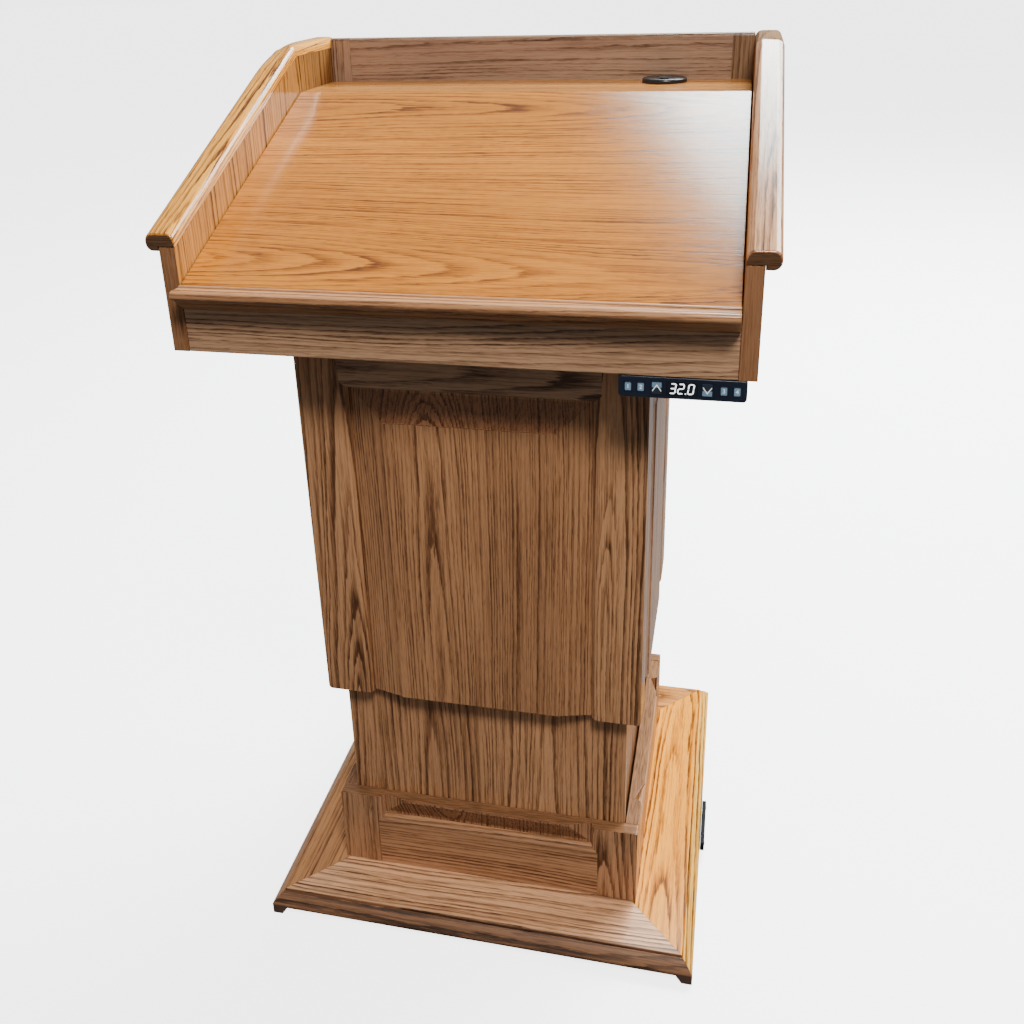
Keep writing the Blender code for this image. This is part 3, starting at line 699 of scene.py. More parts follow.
@dataclass(frozen=True)
class Tint:
    """Painted light and shade: a change of colour on the faces of a board that face one way.

    Attributes:
        way: The way that they face.
        colour: What the oak's colour is multiplied by.
        start: Where in y it sets in, or None for the whole face.
        reach: Over what depth it sets in.
        between: Where it starts and where it is full, as the share of a normal that way.
    """

    way: Triple
    colour: Colour
    start: float | None = None
    reach: float = 0.12
    between: Point = (0.30, 0.60)


# Painted shade: faces towards the audience made darker and warmer, offsetting the strong light from
# behind.
REAR_PAINTED_SHADE = Tint(REAR, (1.05, 0.83, 0.44))


@dataclass(frozen=True)
class Oak:
    """Stained and varnished oak from a chosen part of the tree, with painted light and shade on
    some faces.

    Attributes:
        run: Which way the grain runs.
        seed: Which tree the board is from.
        heart: Where the heart lies from the board's middle: across its face, and behind it.
        lean: How fast the heart comes nearer along the board.
        ring: Width of a year's growth.
        wander: How far the grain strays from a straight line.
        leaves: Half the distance between two book-matched hearts, or 0 for one heart.
        stain: The colours.
        gloss: Weight of the varnish.
        end: How light the end grain is.
        tints: Painted light and shade: colour changes on the faces that face given ways.
        satin: Roughness of the varnish.
    """

    FAR = 10.0
    VARNISH_IOR = 1.6
    PORE_COLOUR = (0.055, 0.022, 0.008)
    PORE_MIX = 0.66
    # Darkening of faces cut across the grain: partly stain taken up by cut grain, partly painted
    # shade on panel bevels.
    CROSS_COLOUR = (0.75, 0.66, 0.64)
    SPECK_SCALE = (650.0, 45.0, 900.0)
    RELIEF = 0.0004
    TONES = ((0.30, (0.80, 0.77, 0.74)), (0.70, (1.10, 1.09, 1.06)))

    run: Run
    seed: float
    heart: Point = (0.12, 0.03)
    lean: float = 0.03
    ring: float = 0.0065
    wander: float = 0.05
    leaves: float = 0.0
    stain: Stain = Stain.HONEY
    gloss: float = 0.55
    end: float = 0.52
    tints: tuple[Tint, ...] = ()
    satin: float = 0.15

    def facing(self, sketch: Sketch, normal: Socket, way: Triple, both: bool = True,
               between: Point = (0.72, 0.90)) -> Socket:
        """How far a surface faces one way.

        Args:
            sketch: The material's sketch.
            normal: The surface's normal.
            way: The direction.
            both: Whether the opposite way counts too.
            between: Where it starts and where it is full, as the share of the normal that way.

        Returns:
            0 for other surfaces, 1 for those that face it.
        """
        dot = sketch.node("VectorMath", operation="DOT_PRODUCT")
        sketch.feed(dot.inputs[0], normal)
        sketch.feed(dot.inputs[1], way)
        share = dot.outputs["Value"]
        return sketch.span(sketch.sum("ABSOLUTE", share) if both else share, between)

    def material(self, name: str, middle: Vector) -> bpy.types.Material:
        """Make the finish for one board.

        Args:
            name: The board's name.
            middle: The middle of the board.

        Returns:
            The material.
        """
        made, sketch, shader = new_material(f"oak_{name}")
        turn = self.run.turn()
        coordinates = sketch.node("TexCoord").outputs
        mapping = sketch.fill(sketch.node("Mapping"), {
            "Vector": coordinates["Object"], "Rotation": turn.to_euler(),
            "Location": -(turn @ middle)})
        board = mapping.outputs["Vector"]
        fold = (0.0, self.leaves) if self.leaves else (self.FAR, self.FAR + self.heart[0])
        figure = sketch.fill(sketch.node("Group", node_tree=OakFigure.group()), {
            "Place": board, "Heart": (*fold, self.heart[1]), "Seed": self.seed, "Lean": self.lean,
            "Ring": self.ring, "Wander": self.wander})
        grain, pores, tone = (figure.outputs[word] for word in OakFigure.OUTPUTS)

        stops = zip((0.02, 0.30, 0.82), self.stain.value)
        colour = sketch.mix("MULTIPLY", 1.0, sketch.ramp(grain, tuple(stops)),
                            sketch.ramp(tone, self.TONES))
        colour = sketch.mix("MIX", sketch.sum("MULTIPLY", pores, self.PORE_MIX), colour,
                            self.PORE_COLOUR)
        normal = coordinates["Normal"]
        # Painted light and shade: faces that face each given way have their colour changed as light
        # would change it.
        for painted in self.tints:
            share = self.facing(sketch, normal, painted.way, False, painted.between)
            if painted.start is not None:
                depth = sketch.split(coordinates["Object"]).outputs["Y"]
                late = sketch.span(depth, (painted.start, painted.start + painted.reach))
                share = sketch.sum("MULTIPLY", share, late)
            colour = sketch.mix("MULTIPLY", share, colour, painted.colour)
        # Faces cut across the grain are darkened: partly real stain uptake, partly painted shade on
        # the panels' bevels.
        along = self.run.value[0]
        cross = self.facing(sketch, normal, along, between=(0.10, 0.24))
        colour = sketch.mix("MULTIPLY", cross, colour, self.CROSS_COLOUR)
        speck = sketch.noise(board, self.SPECK_SCALE, self.seed, 2.0).outputs[0]
        stops = [(place, tuple(part * self.end * share for part in Stain.WARM.value[1]))
                 for place, share in ((0.35, 0.62), (0.62, 1.38))]
        colour = sketch.mix("MIX", self.facing(sketch, normal, along), colour,
                            sketch.ramp(speck, stops))
        hollow = sketch.sum("MULTIPLY", pores, -1.0)
        hollow = sketch.sum("MULTIPLY_ADD", grain, -0.35, hollow)
        sketch.fill(shader, {
            "Base Color": colour,
            "Roughness": sketch.span(pores, (0.0, 1.0), (0.40, 0.60)),
            "Normal": sketch.bump(hollow, 0.22, self.RELIEF),
            "Coat Normal": sketch.bump(hollow, 0.08, self.RELIEF),
            "Specular IOR Level": 0.0,
            "Coat Weight": self.gloss,
            "Coat Roughness": self.satin,
            "Coat IOR": self.VARNISH_IOR,
        })
        return made


@dataclass(frozen=True)
class Moulding:
    """Moulded plastic or paint: an even colour with a fine texture.

    Attributes:
        colour: Its colour.
        roughness: Its mean roughness.
        texture: Size of its fine texture, per metre.
        relief: Strength of that texture.
        coat: Weight of a clear top layer.
        shine: How strongly it reflects.
    """

    colour: Colour
    roughness: float = 0.45
    texture: float = 2600.0
    relief: float = 0.12
    coat: float = 0.0
    shine: float = 0.5

    def material(self, name: str) -> bpy.types.Material:
        """Make the finish.

        Args:
            name: The material's name.

        Returns:
            The material.
        """
        made, sketch, shader = new_material(name)
        place = sketch.place()
        fine = sketch.noise(place, (self.texture,) * 3, 3.1, 2.0).outputs[0]
        broad = sketch.noise(place, (26.0,) * 3, 7.7, 2.0).outputs[0]
        dim = tuple(part * 0.86 for part in self.colour)
        bright = tuple(min(1.0, part * 1.12 + 0.001) for part in self.colour)
        rough = (self.roughness - 0.06, self.roughness + 0.06)
        sketch.fill(shader, {
            "Base Color": sketch.ramp(broad, ((0.30, dim), (0.70, bright))),
            "Roughness": sketch.span(broad, (0.25, 0.75), rough),
            "Normal": sketch.bump(fine, self.relief, 0.0001),
            "Specular IOR Level": self.shine,
            "Coat Weight": self.coat,
            "Coat Roughness": 0.08,
        })
        return made


@dataclass(frozen=True)
class Glow:
    """A mark that glows: the display's lit digits, and the keys' printed marks as painted light.

    Attributes:
        colour: Its colour.
        strength: How bright it is.
    """

    colour: Colour
    strength: float

    def material(self, name: str) -> bpy.types.Material:
        """Make the finish.

        Args:
            name: The material's name.

        Returns:
            The material.
        """
        made, sketch, shader = new_material(name)
        haze = sketch.noise(sketch.place(), (900.0,) * 3, 1.3, 1.0).outputs[0]
        dim = tuple(part * 0.92 for part in self.colour)
        sketch.fill(shader, {
            "Base Color": sketch.ramp(haze, ((0.3, dim), (0.7, self.colour))),
            "Emission Color": (*self.colour, 1.0),
            "Emission Strength": self.strength,
            "Roughness": 0.35,
        })
        return made


BLACK_PLASTIC = Moulding((0.010, 0.011, 0.014), 0.30)
MATT_BLACK = Moulding((0.008, 0.008, 0.009), 0.60, shine=0.1)
BROWN_PLASTIC = Moulding((0.100, 0.054, 0.034), 0.55)
NAVY_PLASTIC = Moulding((0.006, 0.011, 0.026), 0.32, relief=0.05, coat=0.3)
DARK_KEY = Moulding((0.020, 0.030, 0.052), 0.40, relief=0.05)
PALE_KEY = Moulding((0.195, 0.330, 0.490), 0.42, relief=0.05)
WINDOW = Moulding((0.004, 0.007, 0.016), 0.10, relief=0.0, coat=0.6)
GREY_PAINT = Moulding((0.300, 0.310, 0.330), 0.42, texture=1800.0)
DIGIT = Glow((0.92, 0.96, 1.0), 2.0)
# The keys' printed marks are made to glow as painted light, so they stay bright in the shade under
# the apron.
KEY_MARK_PAINTED_GLOW = Glow((0.95, 0.94, 0.90), 0.5)


def middle_of(obj: Object) -> Vector:
    """The middle of a piece's box."""
    return sum((Vector(corner) for corner in obj.bound_box), Vector()) / 8


def middle_of_node(node: str) -> Vector:
    """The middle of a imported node's box."""
    low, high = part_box(node)
    return (low + high) / 2


def fit_out(obj: Object, material: bpy.types.Material, body: str,
            nodes: Sequence[str] = ()) -> None:
    """Give a piece its finish and hang it on its body.

    Args:
        obj: The piece.
        material: Its finish.
        body: The body that it moves with.
        nodes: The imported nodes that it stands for.
    """
    obj.data.materials.clear()
    obj.data.materials.append(material)
    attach(obj, body)
    if nodes:
        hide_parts(*nodes)
    LOG.info("%s on %s, %d faces", obj.name, body, len(obj.data.polygons))


def fit_board(obj: Object, oak: Oak, body: str, nodes: Sequence[str] = (), ease: float = 0.0008,
              steps: int = 2, angle: float = 50.0) -> None:
    """Ease a board's edges, give it its oak and hang it on its body."""
    Bench.finish(obj, ease, steps, angle)
    fit_out(obj, oak.material(obj.name, middle_of(obj)), body, nodes)


def keep_node(name: str, material: bpy.types.Material) -> None:
    """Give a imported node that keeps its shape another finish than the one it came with.

    Args:
        name: The node's name.
        material: Its finish.
    """
    materials = bpy.data.objects[name].data.materials
    materials.clear()
    materials.append(material)
    LOG.info("%s keeps its packed shape", name)


@dataclass
class Base:
    """The base: mitred boards with a moulded edge, a deck, corner feet and a power inlet.

    Attributes:
        body: The body that it belongs to.
        board_w: Width of a board.
        edge_w: Width of the moulding.
        flat_h: Height of the flat under the moulding.
        rim_w: Width of the groove and the eased edge above the moulding's slope.
        rim_h: Their height.
        swell: How far the slope swells out.
        ledge: Width of the ledge between the slope and the groove.
        groove: Depth of the groove.
        arris: Radius of the eased edge.
        ease: Size of the chamfers on the flat.
        toe_w: Width of a foot on the floor.
        let_in: How far a foot is let into its corner.
        skin: Thickness of the moulding left over a foot.
    """

    FEET = tuple(f"foot_{end}_{side}" for end in ("front", "rear") for side in ("left", "right"))

    body: str = "base"
    board_w: float = 0.110
    edge_w: float = 0.0165
    flat_h: float = 0.005
    rim_w: float = 0.0030
    rim_h: float = 0.0034
    swell: float = 0.0009
    ledge: float = 0.0003
    groove: float = 0.0018
    arris: float = 0.0014
    ease: float = 0.001
    toe_w: float = 0.014
    let_in: float = 0.0125
    skin: float = 0.0008

    @property
    def reach(self) -> Point:
        """Distances of the base's right edge and its front edge from the middle."""
        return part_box("base_right_board")[1].x, -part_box("base_front_board")[0].y

    def slope(self) -> tuple[float, float, float]:
        """Where the moulding's slope starts in z, how far it runs in and where it ends in z."""
        low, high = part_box("base_front_board")
        return low.z + self.flat_h, self.edge_w - self.rim_w, high.z - self.rim_h

    def section(self) -> list[Point]:
        """Cross-section of a board.

        Returns:
            Points of the distance out from its outer edge, and height.
        """
        low, high = (corner.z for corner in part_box("base_front_board"))
        start, inset, sill = self.slope()
        points = [(-self.board_w, low), (-self.ease, low), (0.0, low + self.ease),
                  (0.0, start - self.ease)]
        steps = 8
        for step in range(steps + 1):
            share = step / steps
            swell = self.swell * math.sin(math.pi * share)
            points.append((-inset * share, start + (sill - start) * share + swell))
        points += [(-inset - self.ledge, sill), (self.arris - self.edge_w, sill - self.groove)]
        points += arc((-self.edge_w, high - self.arris), self.arris, 0, 90, 4)
        return points + [(-self.board_w, high)]

    def build(self) -> None:
        """Model and dress the base."""
        # Painted shade on the front board's moulding, and a painted cool glare on the right board's
        # outward faces.
        shade = Tint(FRONT, (0.37, 0.32, 0.28), between=(0.12, 0.36))
        glare = Tint(RIGHT, (1.08, 1.45, 3.30))
        finishes = {
            # The front board's lighter, greyer stain is partly a painted sheen.
            Side.FRONT: Oak(Run.LEVEL_WIDTH, 3.4, (0.09, 0.04), 0.03, 0.0062, 0.06, stain=Stain.ASH,
                            gloss=0.65, tints=(shade,), satin=0.5),
            # The right board's very light stain is painted light.
            Side.RIGHT: Oak(Run.LEVEL_DEPTH, 8.1, (0.012, 0.036), 0.05, 0.0066, 0.075,
                            stain=Stain.AMBER, gloss=0.12, tints=(glare,)),
            Side.REAR: Oak(Run.LEVEL_WIDTH, 5.6, (0.02, 0.06), 0.08, 0.0080, 0.04),
            # Painted light: the left board's upward faces are made warmer than its other faces.
            Side.LEFT: Oak(Run.LEVEL_DEPTH, 2.2, (0.13, 0.05), 0.02, 0.0070, 0.03, stain=Stain.WARM,
                           tints=(Tint(UP, (1.04, 0.98, 0.82)),)),
        }
        for side, oak in finishes.items():
            self.build_board(side, oak)
        for node in self.FEET:
            self.build_foot(node)
        Inlet().build()
        oak = Oak(Run.LEVEL_WIDTH, 9.4, stain=Stain.WARM)
        keep_node("base_deck", oak.material("deck", middle_of(bpy.data.objects["base_deck"])))

    def build_board(self, side: Side, oak: Oak) -> None:
        """Model one board with mitred ends and seats for the feet.

        Args:
            side: Its side of the base.
            oak: Its finish.
        """
        wide, deep = self.reach
        reach, half = (wide, deep) if side.flank else (deep, wide)
        outline = [(-reach - out, z) for out, z in self.section()]
        board = Bench.bar(f"{side.word}_board_oak", outline, Lay.SIDE_ON, -half, half)
        for end in (-1, 1):
            Bench.saw(board, (end * (half - HAIRLINE), -reach, 0), (end, 1, 0))
        board.rotation_euler = (0, 0, side.value)
        Bench.settle(board, board.name)
        seats = []
        grow = Vector((SNUG, SNUG, SNUG))
        for node in self.FEET:
            low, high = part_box(node)
            seats.append(Bench.block("seat", low - grow, high + grow))
            self.trim(seats[-1], node, SNUG)
        Bench.carve(board, seats)
        fit_board(board, oak, self.body, [f"base_{side.word}_board"], 0.0005)

    def trim(self, obj: Object, node: str, gap: float) -> None:
        """Cut a foot or its seat off under the slopes of the two boards above it.

        Args:
            obj: The foot or the seat.
            node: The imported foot.
            gap: How much more is left on than at the foot.
        """
        start, inset, sill = self.slope()
        corner = middle_of_node(node)
        for axis, reach in enumerate(self.reach):
            way = math.copysign(1.0, corner[axis])
            point, normal = Vector((0, 0, start)), Vector((0, 0, inset))
            point[axis], normal[axis] = way * reach, way * (sill - start)
            normal.normalize()
            Bench.saw(obj, point - normal * (self.skin - gap), normal)

    def build_foot(self, node: str) -> None:
        """Model one tapered corner foot.

        Args:
            node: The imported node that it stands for.
        """
        low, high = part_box(node)
        outer = (max(low.x, high.x, key=abs), max(low.y, high.y, key=abs))
        waist = high.z - self.let_in
        foot = Bench.block(f"{node}_cap", (low.x, low.y, waist), high)
        Bench.pick_faces(foot, lambda face: face.normal.z < -0.9)
        bpy.ops.mesh.extrude_region_move(TRANSFORM_OT_translate={"value": (0, 0, low.z - waist)})
        bpy.ops.object.mode_set(mode="OBJECT")
        for vert in foot.data.vertices:
            for axis, edge in enumerate(outer):
                if vert.co.z < low.z + TOUCH and abs(vert.co[axis] - edge) > self.toe_w:
                    vert.co[axis] = edge - math.copysign(self.toe_w, edge)
        self.trim(foot, node, 0.0)
        Bench.finish(foot, 0.0008, 2, 20.0)
        material = BROWN_PLASTIC.material(f"plastic_{node}")
        fit_out(foot, material, self.body, [node])


@dataclass
class Inlet:
    """The power inlet: a rounded plate with a socket, three blades and two screws.

    Attributes:
        body: The body that it belongs to.
        corner: Corner radius of the plate.
        socket: Depth of the socket, and half its width and height.
        socket_r: Corner radius of the socket.
        blade: Length of a blade, and half its width and height.
        blades: Places of the blades from the middle.
        screws: Places of the screws from the middle.
        screw_r: Radius of a screw's head.
        screw_t: Thickness of a screw's head.
        slot: Half the size of a screw's slot.
    """

    body: str = "base"
    corner: float = 0.003
    socket: Triple = (0.004, 0.015, 0.0045)
    socket_r: float = 0.002
    blade: Triple = (0.0030, 0.0012, 0.0024)
    blades: Triple = (-0.008, 0.0, 0.008)
    screws: Point = (-0.036, 0.036)
    screw_r: float = 0.0026
    screw_t: float = 0.0009
    slot: Triple = (0.0003, 0.0030, 0.0003)

    def build(self) -> None:
        """Model and dress the inlet."""
        low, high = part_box("power_inlet")
        plate = Bench.block("inlet_plate", low, high)
        Bench.round_along(plate, 0, self.corner)
        middle = (low + high) / 2
        mouth = Vector((high.x, middle.y, middle.z))
        hollow = self.boss("socket", mouth, self.socket)
        Bench.round_along(hollow, 0, self.socket_r)
        Bench.carve(plate, [hollow])
        Bench.finish(plate, 0.0007, 2, 40.0)
        fit_out(plate, MATT_BLACK.material("plastic_inlet"), self.body,
                ["power_inlet"])
        metal = GREY_PAINT.material("metal_blades")
        floor = mouth - Vector((self.socket[0], 0, 0))
        length, *side = self.blade
        for index, shift in enumerate(self.blades):
            place = floor + Vector((length / 2, shift, 0))
            blade = self.boss(f"inlet_blade_{index + 1}", place, (length / 2, *side))
            Bench.finish(blade, 0.0004)
            fit_out(blade, metal, self.body)
        for index, shift in enumerate(self.screws):
            place = mouth + Vector((0, shift, 0))
            screw = Bench.drum(f"inlet_screw_{index + 1}", self.screw_r, self.screw_t, place, 24,
                               (0, math.pi / 2, 0))
            top = place + Vector((0.0005, 0, 0))
            Bench.carve(screw, [self.boss("slot", top, self.slot)])
            Bench.finish(screw, 0.0002)
            fit_out(screw, metal, self.body)

    def boss(self, name: str, middle: Vector, half: Triple) -> Object:
        """Add a block about its middle, from half its size."""
        return Bench.block(name, middle - Vector(half), middle + Vector(half))


@dataclass(frozen=True)
class Wall:
    """Measures of one wall of a box, as it faces the speaker.

    Attributes:
        half: Half its width.
        opening: Half the width between its stiles.
        face: Where its face lies in y.
        back: Where its back lies in y.
        edge: The rail's inner edge in z.
        rail_end: The end with the rail in z.
        cut_end: The end where it is cut off in z.
    """

    half: float
    opening: float
    face: float
    back: float
    edge: float
    rail_end: float
    cut_end: float


@dataclass
class PanelledBox:
    """A box of four walls, each a frame of two stiles and a rail round a raised panel.

    Attributes:
        word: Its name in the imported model.
        body: The body that it belongs to.
        rail_at_top: Whether the rail is at the top, and the walls are cut off at the bottom.
        rail_h: Height of a rail.
        bevel_w: Width of a panel's bevel.
        corner: Radius of the stiles' corners at the cut end.
        seed: First of its boards' seeds.
        stile_w: Width of the stiles at the front and rear.
        side_stile_w: Width of the stiles at the sides.
        sticking: Width of the frame's moulded inner edge.
        fall: Depth of that edge.
        nose: Radius of its inner corner.
        groove: Depth of a panel's edge behind the frame's face.
        margin: Flat strip round a bevel.
        proud: How far a panel's field stands in front of the frame.
        quirk: Small step at the edge of the field.
        spare: How much longer a panel is made than it is cut.
    """

    word: str
    body: str
    rail_at_top: bool
    rail_h: float
    bevel_w: float
    corner: float
    seed: float
    stile_w: float = 0.064
    side_stile_w: float = 0.048
    sticking: float = 0.0095
    fall: float = 0.0058
    nose: float = 0.0012
    groove: float = 0.0095
    margin: float = 0.004
    proud: float = 0.001
    quirk: float = 0.0014
    spare: float = 0.010

    def build(self) -> None:
        """Model and dress the four walls."""
        for index, side in enumerate(Side):
            self.build_wall(side, self.seed + 7.0 * index)

    def measure(self, side: Side) -> Wall:
        """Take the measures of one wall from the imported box.

        Args:
            side: The wall's side of the box.

        Returns:
            The measures.
        """
        low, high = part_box(f"{self.word}_{side.word}_frame")
        out, wide = (0, 1) if side.flank else (1, 0)
        half = high[wide]
        face = -max(abs(low[out]), high[out])
        opening = half - (self.side_stile_w if side.flank else self.stile_w)
        back = face + high[out] - low[out]
        if self.rail_at_top:
            return Wall(half, opening, face, back, high.z - self.rail_h, high.z, low.z)
        return Wall(half, opening, face, back, low.z + self.rail_h, low.z, high.z)

    def build_wall(self, side: Side, seed: float) -> None:
        """Model one wall facing the speaker, and turn it to its side.

        Args:
            side: The wall's side of the box.
            seed: First of the wall's seeds.
        """
        node = f"{self.word}_{side.word}_frame"
        wall = self.measure(side)
        up = Run.SIDE_HEIGHT if side.flank else Run.FRONT_HEIGHT
        level = Run.SIDE_DEPTH if side.flank else Run.FRONT_WIDTH
        # Painted shade on the walls' audience faces.
        tints = (REAR_PAINTED_SHADE,)
        rail_cut, rail_stain = ((0.0, 0.026), 0.075, 0.0085, 0.045), Stain.BARK
        if not self.rail_at_top:
            # Painted shade: the lower box's faces towards the speaker are made a little darker.
            tints = (REAR_PAINTED_SHADE, Tint(FRONT, (0.87, 0.88, 0.92)))
            rail_cut, rail_stain = ((0.07, 0.03), 0.02, 0.0058, 0.04), Stain.TAWNY
        stiles = (("left", -1, 1.3, ((0.012, 0.030), 0.050, 0.0070, 0.06)),
                  ("right", 1, 2.6, ((-0.015, 0.028), 0.055, 0.0075, 0.06)))
        for word, hand, shift, cut in stiles:
            stile = self.stile(f"{node}_stile_{word}", hand, wall)
            oak = Oak(up, seed + shift, *cut, stain=Stain.TAWNY, tints=tints)
            self.hang(stile, side, oak, node, 0.0008)
        oak = Oak(level, seed + 3.9, *rail_cut, stain=rail_stain, tints=tints)
        self.hang(self.rail(f"{node}_rail", wall), side, oak, node, 0.0006)
        oak = Oak(up, seed + 5.2, (-0.05, 0.028), 0.022, 0.0048, 0.035, stain=Stain.WARM,
                  tints=tints)
        panel = self.panel(f"{node}_field", wall)
        self.hang(panel, side, oak, f"{self.word}_{side.word}_panel", 0.0005)

    def hang(self, obj: Object, side: Side, oak: Oak, node: str, ease: float) -> None:
        """Turn a piece to its wall and dress it.

        Args:
            obj: The piece.
            side: Its side of the box.
            oak: Its finish.
            node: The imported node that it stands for.
            ease: Width of its eased edges.
        """
        obj.rotation_euler = (0, 0, side.value)
        Bench.settle(obj, obj.name)
        fit_board(obj, oak, self.body, [node], ease, angle=16.0)

    def edge(self) -> list[Point]:
        """Cross-section of the frame's moulded inner edge.

        Returns:
            Points of the distance from the opening, and depth behind the face.
        """
        points = arc((self.nose, self.fall + 0.0004), self.nose, 180, 255, 4)
        swell = arc((self.sticking, self.fall * 1.9), self.fall * 1.9, 232, 270, 5)
        return points + [(min(max(across, 0.0018), self.sticking), deep) for across, deep in swell]

    def stile(self, name: str, hand: int, wall: Wall) -> Object:
        """Model a stile, with its rounded inner edge and a rounded corner at the cut end.

        Args:
            name: Its name.
            hand: -1 for the left one, 1 for the right one.
            wall: The wall's measures.

        Returns:
            The stile.
        """
        outline = [(wall.opening, wall.back)]
        outline += [(wall.opening + across, wall.face + deep) for across, deep in self.edge()]
        outline += [(wall.half, wall.face), (wall.half, wall.back)]
        ends = sorted((wall.rail_end, wall.cut_end))
        obj = Bench.bar(name, [(hand * x, y) for x, y in outline], Lay.PLAN, *ends)
        corner = Vector((hand * wall.half, wall.cut_end))
        Bench.round_edges(obj, lambda *edge: all((p.xz - corner).length < TOUCH for p in edge),
                          self.corner)
        return obj

    def rail(self, name: str, wall: Wall) -> Object:
        """Model a rail, with its rounded inner edge running over the stiles' edges.

        Args:
            name: Its name.
            wall: The wall's measures.

        Returns:
            The rail.
        """
        way = math.copysign(1.0, wall.rail_end - wall.edge)
        outline = [(wall.back, wall.edge)]
        outline += [(wall.face + deep, wall.edge + way * across) for across, deep in self.edge()]
        outline += [(wall.face, wall.rail_end), (wall.back, wall.rail_end)]
        reach = wall.opening + self.sticking - HAIRLINE
        return Bench.bar(name, outline, Lay.SIDE_ON, -reach, reach)

    def panel(self, name: str, wall: Wall) -> Object:
        """Model a raised panel with its bevel all round, and cut it off at the open end.

        Args:
            name: Its name.
            wall: The wall's measures.

        Returns:
            The panel.
        """
        away = math.copysign(1.0, wall.cut_end - wall.edge)
        half = wall.opening - HAIRLINE
        far = wall.cut_end + away * (self.margin + self.bevel_w + self.spare)
        low_z, high_z = sorted((wall.edge + away * HAIRLINE, far))
        obj = Bench.block(name, (-half, wall.face + self.groove, low_z), (half, wall.back, high_z))
        Bench.pick_faces(obj, lambda front: front.normal.y < -0.9)
        for width, rise in ((self.margin, 0.0),
                            (self.bevel_w, self.groove + self.proud - self.quirk),
                            (self.quirk / 3, self.quirk)):
            bpy.ops.mesh.inset(thickness=width, depth=rise)
        bpy.ops.object.mode_set(mode="OBJECT")
        Bench.saw(obj, (0, 0, wall.cut_end), (0, 0, away))
        return obj


@dataclass
class Sleeve:
    """The inner sleeve that the upper box slides over.

    Attributes:
        body: The body that it belongs to.
        strip_w: Width of the edge strips of its front and rear.
        leaves: Half the distance between the hearts of the board between them.
    """

    body: str = "base"
    strip_w: float = 0.046
    leaves: float = 0.082

    def build(self) -> None:
        """Model and dress the four sides."""
        for word, seed in (("front", 31.0), ("rear", 37.0)):
            self.build_face(f"sleeve_{word}", seed)
        for word, seed in (("left", 41.0), ("right", 43.0)):
            node = f"sleeve_{word}"
            board = Bench.block(f"{node}_oak", *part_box(node))
            oak = Oak(Run.SIDE_HEIGHT, seed, (0.05, 0.03), 0.03, 0.0075, 0.04, stain=Stain.WARM)
            fit_board(board, oak, self.body, [node])

    def build_face(self, node: str, seed: float) -> None:
        """Model the front or the rear: a wide board between two edge strips.

        Args:
            node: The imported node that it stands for.
            seed: First of its seeds.
        """
        low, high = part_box(node)
        gap = HAIRLINE / 2
        cuts = (low.x - gap, low.x + self.strip_w, high.x - self.strip_w, high.x + gap)
        boards = (((0.06, 0.03), 0.0), ((0.03, 0.024), self.leaves), ((-0.08, 0.03), 0.0))
        for index, (heart, leaves) in enumerate(boards):
            left, right = cuts[index] + gap, cuts[index + 1] - gap
            board = Bench.block(f"{node}_oak_{index + 1}", (left, low.y, low.z),
                                (right, high.y, high.z))
            # Painted shade on the audience faces.
            oak = Oak(Run.FRONT_HEIGHT, seed + 1.7 * index, heart, 0.07, 0.0078, 0.06, leaves,
                      Stain.TAWNY, tints=(REAR_PAINTED_SHADE,))
            fit_board(board, oak, self.body, [node], 0.0006)


@dataclass
class Column:
    """The lifting column and its drive, inside the pedestal.

    Attributes:
        steel: Its painted steel pieces.
        plastic: Its drive and control box.
    """

    steel: tuple[str, ...] = ("column_foot_plate", "column_outer_tube", "column_middle_tube",
                              "column_inner_tube", "column_head_plate", "spindle")
    plastic: tuple[str, ...] = ("gear_motor", "control_box")

    def build(self) -> None:
        """Dress the pieces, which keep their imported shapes."""
        paint = GREY_PAINT.material("paint_column")
        black = BLACK_PLASTIC.material("plastic_drive")
        for names, material in ((self.steel, paint), (self.plastic, black)):
            for name in names:
                keep_node(name, material)


